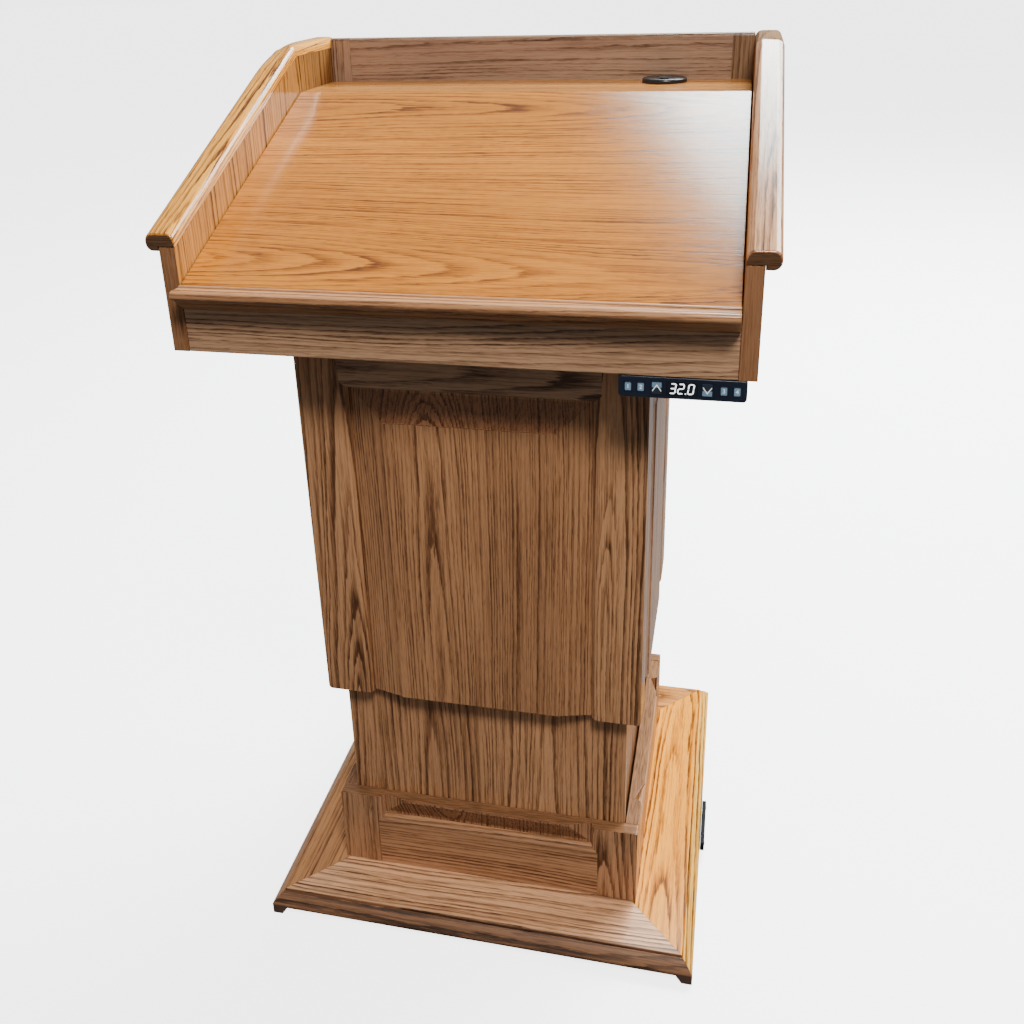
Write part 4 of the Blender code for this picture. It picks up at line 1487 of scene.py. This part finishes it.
@dataclass
class DeskTop:
    """The desk: sides with cap rails, apron, nosing, sloping surface, shelf and back.

    Attributes:
        body: The body that it belongs to.
        cap_t: Thickness of a cap rail.
        cap_lip: Outer lip that hangs beside a side panel.
        cap_round: Radius of a cap rail's outer edge.
        cap_ease: Radius of its inner edge.
        cap_end: Radius of its ends.
        cap_over: Overhang of a cap rail outside its side panel.
        cap_gap: Gap between a cap rail and its side panel.
        spare: How much longer a length of cap rail is made than it is cut.
        worn: How far from the bend a cap rail's outer edge is sanded away.
        wear: How much is sanded away at the left bend.
        sound: Share of a cap rail's width, from its inner edge, that isn't sanded.
        clear: Distance of the first sanded step from the bend.
        sanded: Steps in which it is sanded.
        bead: Radius of the bead along the nosing's top.
        bead_in: Distance of the bead's middle from the nosing's back.
        lip: Radius of the nosing's lip.
        back_r: Radius of the back's top edges.
        hole_r: Radius of the shelf's hole for the grommet.
    """

    body: str = "desk"
    cap_t: float = 0.0145
    cap_lip: float = 0.0045
    cap_round: float = 0.009
    cap_ease: float = 0.009
    cap_end: float = 0.0022
    cap_over: float = 0.0165
    cap_gap: float = 0.0003
    spare: float = 0.05
    worn: float = 0.070
    wear: float = 0.0095
    sound: float = 0.25
    clear: float = 0.002
    sanded: int = 8
    bead: float = 0.0021
    bead_in: float = 0.0038
    lip: float = 0.0055
    back_r: float = 0.005
    hole_r: float = 0.0268

    @property
    def panel_t(self) -> float:
        """Thickness of a side panel."""
        low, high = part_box("left_side_panel")
        return high.x - low.x

    def build(self) -> None:
        """Model and dress the desk."""
        for word, hand, seed in (("left", -1, 11.0), ("right", 1, 15.0)):
            self.build_side(word, hand, seed)
            self.build_cap(word, hand, seed)
        self.build_front()
        self.build_back()
        self.build_surface()
        oak = Oak(Run.LEVEL_WIDTH, 61.0, (0.05, 0.08), 0.05, stain=Stain.WARM, gloss=0.3)
        middle = middle_of(bpy.data.objects["desk_floor"])
        keep_node("desk_floor", oak.material("desk_floor", middle))

    def build_side(self, word: str, hand: int, seed: float) -> None:
        """Model a side panel.

        Args:
            word: left or right.
            hand: -1 for the left one, 1 for the right one.
            seed: Its seed.
        """
        node = f"{word}_side_panel"
        low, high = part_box(node)
        outline = [(low.y, low.z), (high.y, low.z), (high.y, high.z), (low.y + SLOPE_RUN, high.z),
                   (low.y, high.z - WING_RISE)]
        board = Bench.bar(f"{node}_oak", outline, Lay.SIDE_ON, low.x, high.x)
        # Painted light: front edge darker and cooler, outer face with a painted cool reflection,
        # inner face darkening towards the back as painted shade.
        tints = (Tint(FRONT, (0.62, 0.73, 1.66)), Tint((hand, 0.0, 0.0), (0.90, 1.08, 2.30)),
                 Tint((-hand, 0.0, 0.0), (0.50, 0.55, 0.76), 0.04))
        oak = Oak(Run.SIDE_HEIGHT, seed, (0.10, 0.04), 0.03, 0.0085, 0.04, stain=Stain.CIDER,
                  gloss=0.25 if hand < 0 else 0.02, tints=tints)
        fit_board(board, oak, self.body, [node], 0.0)

    def cap_section(self) -> list[Point]:
        """Cross-section of a cap rail.

        Returns:
            Points of the distance out from the desk's inner face, and height.
        """
        lip = self.panel_t + self.cap_gap
        middle = self.panel_t + self.cap_over - self.cap_round
        points = [(0.0, 0.0), (lip, 0.0), (lip, -self.cap_lip)]
        points += arc((middle, self.cap_round - self.cap_lip), self.cap_round, 270, 360)
        points += arc((middle, self.cap_t - self.cap_round), self.cap_round, 0, 90)
        return points + arc((self.cap_ease, self.cap_t - self.cap_ease), self.cap_ease, 90, 180)

    def build_cap(self, word: str, hand: int, seed: float) -> None:
        """Model a cap rail in two lengths that meet in a mitre where the slope ends.

        Args:
            word: left or right.
            hand: -1 for the left one, 1 for the right one.
            seed: First of its seeds.
        """
        low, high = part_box(f"{word}_side_panel")
        inner = high.x if hand < 0 else low.x
        outline = [(inner + hand * out, z) for out, z in self.cap_section()]
        bend = Vector((0, low.y + SLOPE_RUN, high.z + self.cap_gap))
        mitre = Vector((0, math.cos(WING / 2), math.sin(WING / 2)))
        slope_end = -SLOPE_RUN / math.cos(WING) - self.spare
        lengths = (("slope", Run.WING_DEPTH, WING, (slope_end, self.spare), -1, low.y, 1.1),
                   ("level", Run.LEVEL_DEPTH, 0.0, (-self.spare, high.y - bend.y), 1, high.y, 2.3))
        for name, run, angle, ends, way, end, shift in lengths:
            obj = Bench.bar(f"{word}_cap_{name}", outline, Lay.FRONT_ON, *ends)
            obj.rotation_euler = (angle, 0, 0)
            obj.location = bend
            Bench.settle(obj, obj.name)
            Bench.saw(obj, bend + mitre * way * HAIRLINE / 2, mitre * -way)
            if way < 0:
                Bench.saw(obj, (0, end, 0), FRONT)
            Bench.round_edges(obj, lambda *edge: all(abs(point.y - end) < TOUCH for point in edge),
                              self.cap_end, 4)
            # The left cap rails take the lit copy of the oak as painted light; the right cap's
            # level length is the darkest.
            stain = Stain.STRAW if hand < 0 else Stain.TAWNY if way < 0 else Stain.UMBER
            oak = Oak(run, seed + shift, (0.012, 0.03), 0.03, 0.0060, 0.03, end=0.24, stain=stain,
                      gloss=0.1 if stain is Stain.UMBER else 0.9)
            self.wear_bend(obj, bend, inner, run, self.wear if hand < 0 else self.wear / 5)
            fit_board(obj, oak, self.body, [f"{word}_cap_rail"], 0.0, angle=60.0)

    def wear_bend(self, obj: Object, bend: Vector, inner: float, run: Run, wear: float) -> None:
        """Sand a length of cap rail away at the outer edge, more and more towards the bend.

        Args:
            obj: The length of cap rail.
            bend: Where the two lengths meet, at the cap's underside.
            inner: The cap's inner edge in x.
            run: The way it runs.
            wear: How much is sanded away at the bend.
        """
        along = Vector(run.value[0])
        up = Vector((0.0, -along.z, along.y))
        way = 1.0 if run is Run.LEVEL_DEPTH else -1.0
        Bench.edit(obj)
        for step in range(1, self.sanded + 1):
            bpy.ops.mesh.select_all(action="SELECT")
            place = bend + along * way * (self.clear + self.worn * step / self.sanded)
            bpy.ops.mesh.bisect(plane_co=place, plane_no=along)
        bpy.ops.object.mode_set(mode="OBJECT")
        width = self.panel_t + self.cap_over
        for vert in obj.data.vertices:
            offset = vert.co - bend
            near = 1.0 - min(1.0, abs(offset.dot(along)) / (self.worn + self.clear))
            out = max(0.0, abs(vert.co.x - inner) / width - self.sound) / (1.0 - self.sound)
            share = max(0.0, (offset.dot(up) + self.cap_lip) / (self.cap_t + self.cap_lip))
            vert.co -= up * (wear * near * near * out * share)

    def nosing_outline(self, low: Vector, high: Vector) -> list[Point]:
        """Cross-section of the nosing: a bead, a round lip and a face that runs back to the apron.

        Args:
            low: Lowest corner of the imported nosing.
            high: Its highest corner.

        Returns:
            Points in y and z.
        """
        bead_y = high.y - self.bead_in
        lip_y, lip_z = low.y + self.lip, high.z - self.lip - 0.0008
        points = [(high.y, high.z - 0.0004)]
        points += arc((bead_y, high.z - self.bead), self.bead, 80, 190, 6)
        points += [(bead_y - self.bead - 0.0003, lip_z + self.lip - 0.0012)]
        points += arc((lip_y, lip_z), self.lip, 84, 235, 10)
        points += [(lip_y + 0.0005, lip_z - self.lip + 0.0004)]
        return points + [(high.y - 0.0015, low.z + 0.0006), (high.y, low.z)]

    def build_front(self) -> None:
        """Model the apron and the nosing."""
        apron = Bench.block("apron_oak", *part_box("apron"))
        oak = Oak(Run.FRONT_WIDTH, 21.0, (0.06, 0.03), 0.03, 0.0054, 0.055, stain=Stain.BARK)
        fit_board(apron, oak, self.body, ["apron"], 0.0012, 3)
        low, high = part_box("nosing")
        nosing = Bench.bar("nosing_oak", self.nosing_outline(low, high), Lay.SIDE_ON, low.x, high.x)
        oak = Oak(Run.FRONT_WIDTH, 23.0, (0.05, 0.03), 0.02, 0.0060, 0.02, stain=Stain.WARM,
                  gloss=0.7)
        fit_board(nosing, oak, self.body, ["nosing"], 0.0004, 2, 60.0)

    def build_back(self) -> None:
        """Model the back panel between its two stiles, with their rounded top edges."""
        # Painted light on the rear faces: their colour shifted warmer against the strong light from
        # behind.
        rear_painted_red, rear_painted_brown = (Tint(REAR, (1.25, 0.80, 0.33)),), (Tint(REAR, (1.85, 1.27, 0.62)),)
        inner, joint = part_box("right_side_panel")[0].x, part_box("back_right_stile")[0].x
        boards = (
            ("back_panel", -joint, joint, Oak(Run.FRONT_WIDTH, 27.0, (0.16, 0.05), 0.01, 0.0045,
                                              0.02, stain=Stain.RUSSET, tints=rear_painted_red)),
            ("back_left_stile", -inner, -joint, Oak(Run.FRONT_HEIGHT, 28.4, (0.03, 0.03), 0.05,
                                                    stain=Stain.RUSSET, tints=rear_painted_red)),
            ("back_right_stile", joint, inner, Oak(Run.FRONT_HEIGHT, 29.9, (0.05, 0.03), 0.04,
                                                   stain=Stain.UMBER, tints=rear_painted_brown)),
        )
        for node, left, right, oak in boards:
            low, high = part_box(node)
            low.x, high.x = left + SNUG, right - SNUG
            board = Bench.block(f"{node}_oak", low, high)
            Bench.round_edges(board, lambda a, b: min(a.z, b.z) > high.z - TOUCH
                              and abs(a.x - b.x) > TOUCH, self.back_r)
            fit_board(board, oak, self.body, [node], 0.0, angle=60.0)

    def build_surface(self) -> None:
        """Model the sloping reading surface and the level shelf behind it."""
        low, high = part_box("reading_surface")
        drop = high.z - low.z - SLOPE_RISE
        outline = [(low.y, high.z - SLOPE_RISE), (low.y, low.z), (high.y, high.z - drop),
                   (high.y, high.z)]
        board = Bench.bar("reading_surface_oak", outline, Lay.SIDE_ON, low.x, high.x)
        oak = Oak(Run.SLOPE_WIDTH, 33.0, (0.0, 0.034), 0.068, 0.0050, 0.045, leaves=0.168,
                  stain=Stain.GOLD, gloss=1.0)
        fit_board(board, oak, self.body, ["reading_surface"], 0.0010, 3)
        shelf = Bench.block("shelf_oak", *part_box("shelf"))
        hole = Bench.drum("hole", self.hole_r, 0.1, middle_of_node("grommet_ring"), 64)
        Bench.carve(shelf, [hole])
        oak = Oak(Run.LEVEL_WIDTH, 35.0, (0.10, 0.06), 0.03, 0.0080, 0.03, stain=Stain.HONEY,
                  gloss=0.8)
        fit_board(shelf, oak, self.body, ["shelf"], 0.0008)


@dataclass
class Grommet:
    """The cable grommet: a ring let into the shelf and a cap that turns in it.

    Attributes:
        ring_body: The body of the ring.
        cap_body: The body of the cap.
        facets: Facets of a full turn.
        flange_t: Thickness of the ring's flange.
        flange_round: Radius of the flange's upper edge.
        flange_ease: Chamfer of its lower edge.
        seat_ease: Chamfer of its inner edge.
        tube_r: Radius of the ring's tube outside.
        bore_r: Radius of its bore.
        seat_r: Radius of the recess that the cap turns in.
        seat_d: Depth of that recess.
        slot_w: Width of the cap's cable slot.
        slot_d: Depth of the slot from the cap's edge.
        slot_r: Radius of the slot's corners.
        thumb_r: Radius of the corners of the recess for a thumb.
    """

    ring_body: str = "desk"
    cap_body: str = "grommet_cap_body"
    facets: int = 72
    flange_t: float = 0.006
    flange_round: float = 0.0032
    flange_ease: float = 0.0004
    seat_ease: float = 0.0006
    tube_r: float = 0.0265
    bore_r: float = 0.0235
    seat_r: float = 0.0255
    seat_d: float = 0.003
    slot_w: float = 0.014
    slot_d: float = 0.016
    slot_r: float = 0.005
    thumb_r: float = 0.0035

    def build(self) -> None:
        """Model and dress the ring and the cap."""
        low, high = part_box("grommet_ring")
        axis = ((low.x + high.x) / 2, (low.y + high.y) / 2)
        flange_r, flange_z = (high.x - low.x) / 2, high.z - self.flange_t
        seat_z, bend = high.z - self.seat_d, self.flange_round
        profile = [(self.seat_r, high.z - self.seat_ease), (self.seat_r + self.seat_ease, high.z)]
        profile += arc((flange_r - bend, high.z - bend), bend, 90, 0, 7)
        profile += [(flange_r, flange_z + self.flange_ease),
                    (flange_r - self.flange_ease, flange_z), (self.tube_r, flange_z),
                    (self.tube_r, low.z), (self.bore_r, low.z), (self.bore_r, seat_z),
                    (self.seat_r, seat_z)]
        ring = Bench.ring("grommet_ring_moulded", profile, axis, self.facets)
        Bench.finish(ring, angle=35.0)
        black = BLACK_PLASTIC.material("plastic_grommet")
        fit_out(ring, black, self.ring_body, ["grommet_ring"])
        self.build_cap(axis, black)

    def build_cap(self, axis: Point, black: bpy.types.Material) -> None:
        """Model the cap with its cable slot and a recess for a thumb.

        Args:
            axis: The cap's axis in x and y.
            black: Its finish.
        """
        x, y = axis
        low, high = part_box("grommet_cap")
        cap = Bench.drum("grommet_cap_moulded", (high.x - low.x) / 2, high.z - low.z,
                         (x, y, (low.z + high.z) / 2), self.facets)
        half = self.slot_w / 2
        slot = Bench.block("slot", (x - half, y - 0.05, low.z - 0.01),
                           (x + half, y - self.seat_r + self.slot_d, high.z + 0.01))
        Bench.round_edges(slot, lambda a, b: abs(a.z - b.z) > TOUCH and a.y > y - 0.04, self.slot_r)
        thumb = Bench.block("thumb_recess", (x - 0.012, y + 0.006, high.z - 0.0009),
                            (x + 0.012, y + 0.014, high.z + 0.001))
        Bench.round_along(thumb, 2, self.thumb_r)
        Bench.carve(cap, [slot, thumb])
        Bench.finish(cap, 0.0005, 2, 35.0)
        fit_out(cap, black, self.cap_body, ["grommet_cap"])


@dataclass
class Keypad:
    """The keypad under the apron: a housing, six keys and a lit display.

    Attributes:
        body: The body of the housing.
        corner: Corner radius of the housing.
        rim: Radius of the housing's front rim.
        key_gap: Gap round a key.
        key_travel: Room behind a key, beside its gap.
        key_r: Corner radius of a key.
        patch_r: Corner radius of a key's pale patch.
        patch_in: Distance of the patch from the key's edge.
        patch_up: Further distance from the lower edge of a numbered key.
        patch_half: Distance of an arrow key's patch from the key's middle.
        film: Thickness of a printed mark.
        number_h: Size of a key's number.
        arrow: Half the width, the height and the thickness of an arrow.
        digit_h: Height of a digit.
        digit_w: Width of a digit.
        digit_gap: Gap between two digits.
        point_gap: Room for the point, on each side.
        stroke: Width of a digit's strokes.
        stroke_gap: Gap between two strokes, on each side.
        slant: How far a digit leans, per unit of height.
        shown: What the display shows.
    """

    KEYS = ("1", "2", "up", "down", "3", "4")
    SEGMENTS = {"0": "abcdef", "2": "abged", "3": "abgcd"}

    body: str = "desk"
    corner: float = 0.004
    rim: float = 0.0012
    key_gap: float = 0.0003
    key_travel: float = 0.0007
    key_r: float = 0.0012
    patch_r: float = 0.0009
    patch_in: float = 0.0007
    patch_up: float = 0.0004
    patch_half: float = 0.0006
    film: float = 0.00012
    number_h: float = 0.0062
    arrow: Triple = (0.0046, 0.0066, 0.0011)
    digit_h: float = 0.0108
    digit_w: float = 0.0054
    digit_gap: float = 0.0030
    point_gap: float = 0.0010
    stroke: float = 0.0013
    stroke_gap: float = 0.00018
    slant: float = 0.14
    shown: str = "32.0"

    def build(self) -> None:
        """Model and dress the keypad."""
        self.build_housing()
        window = Bench.block("display_pane", *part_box("display_window"))
        Bench.finish(window, 0.0003)
        fit_out(window, WINDOW.material("window_display"), self.body,
                ["display_window"])
        self.build_keys()
        self.build_digits()

    def build_housing(self) -> None:
        """Model the housing with its pockets for the keys and the display."""
        low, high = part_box("keypad_housing")
        half_w, half_h = (high.x - low.x) / 2 - self.corner, (high.z - low.z) / 2 - self.corner
        middle = (low + high) / 2
        outline = []
        for across, up, start in ((1, 1, 0), (-1, 1, 90), (-1, -1, 180), (1, -1, 270)):
            centre = (middle.x + across * half_w, middle.z + up * half_h)
            outline += arc(centre, self.corner, start, start + 90, 6)
        housing = Bench.bar("keypad_shell", outline, Lay.FRONT_ON, low.y, high.y)
        Bench.round_edges(housing, lambda a, b: max(a.y, b.y) < low.y + TOUCH, self.rim, 4)
        pockets = []
        gap = Vector((self.key_gap, self.key_gap, self.key_gap))
        for name in (*(f"key_{word}" for word in self.KEYS), "display_window"):
            key_low, key_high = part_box(name)
            pockets.append(Bench.block("pocket", key_low - gap - Vector((0, 0.005, 0)),
                                       key_high + gap + Vector((0, self.key_travel, 0))))
        Bench.carve(housing, pockets)
        Bench.finish(housing, angle=35.0)
        fit_out(housing, NAVY_PLASTIC.material("plastic_keypad"), self.body,
                ["keypad_housing"])

    def build_keys(self) -> None:
        """Model the keys with their pale patches and their marks."""
        dark = DARK_KEY.material("plastic_key_base")
        pale = PALE_KEY.material("plastic_key_patch")
        # The keys' marks glow as painted light; they are printed marks, not lamps.
        glow = KEY_MARK_PAINTED_GLOW.material("glow_key_mark")
        for word in self.KEYS:
            node = f"key_{word}"
            body = f"{node}_body"
            low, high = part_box(node)
            middle = (low + high) / 2
            key = Bench.block(f"{node}_cap", low, high)
            Bench.round_along(key, 1, self.key_r, 4)
            Bench.finish(key, 0.0004, 2, 40.0)
            fit_out(key, dark, body, [node])
            bottom, top = low.z + self.patch_in, high.z - self.patch_in
            if word == "up":
                bottom = middle.z + self.patch_half
            elif word == "down":
                top = middle.z - self.patch_half
            else:
                bottom += self.patch_up
            face = low.y - self.film
            patch = Bench.block(f"{node}_patch", (low.x + self.patch_in, face, bottom),
                                (high.x - self.patch_in, low.y, top))
            Bench.round_along(patch, 1, self.patch_r, 4)
            Bench.finish(patch, 0.00004)
            fit_out(patch, pale, body)
            if word.isdigit():
                mark = self.number(f"{node}_mark", word, (middle.x, (bottom + top) / 2), face)
            else:
                way = 1 if word == "up" else -1
                mark = self.chevron(f"{node}_mark", way, (middle.x, middle.z), face)
            fit_out(mark, glow, body)

    def chevron(self, name: str, way: int, middle: Point, face: float) -> Object:
        """Model an arrow on a key.

        Args:
            name: Its name.
            way: 1 for up, -1 for down.
            middle: The key's middle in x and z.
            face: Where the key's face lies in y.

        Returns:
            The arrow.
        """
        wide, tall, thick = self.arrow
        upright = thick * 1.4
        upper = [(-wide, -tall / 2), (0.0, tall / 2), (wide, -tall / 2)]
        outline = upper + [(x, z - upright) for x, z in reversed(upper)]
        points = [(middle[0] + x, middle[1] + way * (z + upright / 2)) for x, z in outline]
        obj = Bench.bar(name, points, Lay.FRONT_ON, face - self.film, face + self.film)
        Bench.finish(obj, 0.00004)
        return obj

    def number(self, name: str, word: str, middle: Point, face: float) -> Object:
        """Model a key's number.

        Args:
            name: Its name.
            word: The number.
            middle: The number's middle in x and z.
            face: Where the key's face lies in y.

        Returns:
            The number.
        """
        Bench.start()
        bpy.ops.object.text_add()
        text = bpy.context.object.data
        text.body = word
        text.size = self.number_h
        text.extrude = self.film / 2
        text.align_x = text.align_y = "CENTER"
        bpy.ops.object.convert(target="MESH")
        obj = bpy.context.object
        obj.rotation_euler = (math.pi / 2, 0, 0)
        obj.location = (middle[0], face - self.film / 2, middle[1])
        Bench.settle(obj, name)
        Bench.finish(obj)
        return obj

    def stroke_outline(self, segment: str) -> list[Point]:
        """Outline of one stroke of a digit, with pointed ends.

        Args:
            segment: The stroke's letter, a at the top and then clockwise, g in the middle.

        Returns:
            Points about the digit's middle.
        """
        w, h, t = self.digit_w / 2, self.digit_h / 4, self.stroke / 2
        places = {"a": (0, 2 * h), "b": (w, h), "c": (w, -h), "d": (0, -2 * h), "e": (-w, -h),
                  "f": (-w, h), "g": (0, 0)}
        x, z = places[segment]
        reach = (h if x else w) - self.stroke_gap
        shape = [(-reach, 0), (t - reach, t), (reach - t, t), (reach, 0), (reach - t, -t),
                 (t - reach, -t)]
        if x:
            shape = [(v, -u) for u, v in shape]
        return [(x + u + self.slant * (z + v), z + v) for u, v in shape]

    def build_digits(self) -> None:
        """Model the lit digits and the point on the display."""
        glow = DIGIT.material("glow_digits")
        middle = middle_of_node("display_window")
        pitch, gap = self.digit_w + self.digit_gap, self.point_gap
        places = (-pitch - gap, -gap, pitch + gap)
        for index, (digit, shift) in enumerate(zip(self.shown.replace(".", ""), places)):
            for segment in self.SEGMENTS[digit]:
                points = [(shift + x, z) for x, z in self.stroke_outline(segment)]
                self.light(f"digit_{index + 1}_{segment}", points, middle, glow)
        half = self.stroke / 2
        x, z = pitch / 2 - 0.0004, -self.digit_h / 2
        square = [(x - half, z - half), (x + half, z - half), (x + half, z + half),
                  (x - half, z + half)]
        self.light("digit_point", square, middle, glow)

    def light(self, name: str, points: Sequence[Point], middle: Vector,
              glow: bpy.types.Material) -> None:
        """Model one lit stroke on the display.

        Args:
            name: Its name.
            points: Its outline in x and z, about the display's middle.
            middle: The display's middle.
            glow: Its finish.
        """
        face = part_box("display_window")[0].y
        outline = [(middle.x + x, middle.z + z) for x, z in points]
        stroke = Bench.bar(name, outline, Lay.FRONT_ON, face - 0.00008, face + 0.0002)
        Bench.finish(stroke, 0.00003)
        fit_out(stroke, glow, self.body)


@dataclass
class Studio:
    """The floor, the lights and the camera.

    Attributes:
        eye: Where the camera stands.
        tilt: Its turn about x, y and z in degrees.
        lens: Its focal length in millimetres.
        shift: Its lens shift across and up.
        pane_at: Middle of the widest pane of window light.
        pane_size: Width and height of that pane.
        pane_less: How much smaller each next pane is.
        pane_turn: The panes' turn in degrees.
        pane_power: Their power in watts per square metre.
    """

    eye: Triple = (0.29787, -1.31343, 1.27971)
    tilt: Triple = (67.6459, 1.7355, 12.6937)
    lens: float = 37.068
    shift: Point = (0.01795, -0.12343)
    pane_at: Triple = (0.473, 1.915, 3.05)
    pane_size: Point = (1.10, 1.18)
    pane_less: Point = (0.15, 0.14)
    pane_turn: float = 32.7
    pane_power: float = 60.0

    def build(self) -> None:
        """Make the floor, the lights and the camera."""
        self.build_floor()
        self.build_world()
        self.build_light("ceiling", (1.75, 2.55, 3.1), (1.4, 1.9, 0.0), (2.4, 2.8), 360.0,
                         (1.0, 0.985, 0.96))
        self.build_light("room", (0.7, -1.78, 3.22), (0.0, -0.1, 0.6), (0.8, 0.6), 90.0,
                         (1.0, 0.95, 0.88))
        self.build_window()
        self.build_camera()

    def build_floor(self) -> None:
        """Make a wide pale floor and a pale wall far round it."""
        Bench.start()
        bpy.ops.mesh.primitive_circle_add(vertices=96, radius=300.0, fill_type="NGON")
        floor = Bench.settle(bpy.context.object, "studio_floor")
        made, sketch, shader = new_material("pale_floor")
        haze = sketch.noise(sketch.place(), (1.4,) * 3, 0.7, 2.0).outputs[0]
        sketch.fill(shader, {
            "Base Color": sketch.ramp(haze, ((0.2, 0.80), (0.8, 0.83))),
            "Roughness": 0.7,
            "Emission Color": (1.0, 1.0, 1.0, 1.0),
            "Emission Strength": 3.4,
        })
        Bench.start()
        bpy.ops.mesh.primitive_cylinder_add(vertices=96, radius=40.0, depth=80.0,
                                            end_fill_type="NOTHING")
        wall = Bench.settle(bpy.context.object, "studio_wall")
        wall.visible_shadow = False
        for piece in (floor, wall):
            piece.data.materials.append(made)
            piece.visible_diffuse = False
            piece.visible_glossy = False

    def build_world(self) -> None:
        """Make a surround that is brighter overhead and behind the lectern."""
        world = bpy.data.worlds.new("studio")
        world.use_nodes = True
        sketch = Sketch(world.node_tree)
        way = sketch.split(sketch.node("TexCoord").outputs["Generated"]).outputs
        sky = ((0.0, 0.20), (0.47, 0.26), (0.55, (0.30, 0.31, 0.32)), (1.0, (0.60, 0.62, 0.65)))
        behind = sketch.span(way["Y"], (-0.4, 0.7))
        low = sketch.span(way["Z"], (-0.2, 0.4), (1.9, 0.3))
        sketch.fill(world.node_tree.nodes["Background"], {
            "Color": sketch.ramp(sketch.span(way["Z"], (-1.0, 1.0)), sky),
            "Strength": sketch.sum("MULTIPLY_ADD", behind, low, 0.55),
        })
        bpy.context.scene.world = world

    def build_light(self, name: str, place: Triple, target: Triple, size: Point, power: float,
                    colour: Colour, turn: float = 0.0) -> None:
        """Make one soft light.

        Args:
            name: Its name.
            place: Where it hangs.
            target: What it points at.
            size: Its width and height.
            power: Its power in watts.
            colour: Its colour.
            turn: Its turn about the way it points.
        """
        Bench.start()
        bpy.ops.object.light_add(type="AREA", location=place)
        lamp = bpy.context.object
        lamp.name = name
        lamp.data.shape = "RECTANGLE"
        lamp.data.size, lamp.data.size_y = size
        lamp.data.energy = power
        lamp.data.color = colour
        aim = (Vector(target) - Vector(place)).to_track_quat("-Z", "Y")
        lamp.rotation_euler = (aim @ Quaternion((0.0, 0.0, 1.0), turn)).to_euler()

    def build_window(self) -> None:
        """Hang three overlapping panes of cool light, so that their reflection fades in."""
        turn = math.radians(self.pane_turn)
        across = Vector((math.cos(turn), math.sin(turn), 0.0))
        along = Vector((-math.sin(turn), math.cos(turn), 0.0))
        less_w, less_h = self.pane_less
        for step in range(3):
            size = (self.pane_size[0] - less_w * step, self.pane_size[1] - less_h * step)
            place = Vector(self.pane_at) + (across * less_w + along * less_h) * step / 2
            power = self.pane_power * size[0] * size[1]
            self.build_light(f"window_{step + 1}", place, place - Vector(UP), size, power,
                             (0.76, 0.95, 1.0), turn)

    def build_camera(self) -> None:
        """Make the camera at the photograph's viewing angle."""
        Bench.start()
        turn = [math.radians(part) for part in self.tilt]
        bpy.ops.object.camera_add(location=self.eye, rotation=turn)
        camera = bpy.context.object
        camera.name = "camera"
        camera.data.lens = self.lens
        camera.data.shift_x, camera.data.shift_y = self.shift
        camera.data.clip_end = 1000.0
        bpy.context.scene.camera = camera


def main() -> None:
    """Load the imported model, build every sub-assembly and set the studio round it."""
    logging.basicConfig(level=logging.INFO, format="%(name)s: %(message)s")
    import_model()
    assemblies = (
        Base(),
        PanelledBox("lower", "base", False, 0.087, 0.0275, 0.002, 101.0),
        PanelledBox("upper", "desk", True, 0.066, 0.038, 0.005, 151.0),
        Sleeve(),
        Column(),
        DeskTop(),
        Grommet(),
        Keypad(),
        Studio(),
    )
    for assembly in assemblies:
        LOG.info("building %s", type(assembly).__name__)
        assembly.build()


if __name__ == "__main__":
    main()
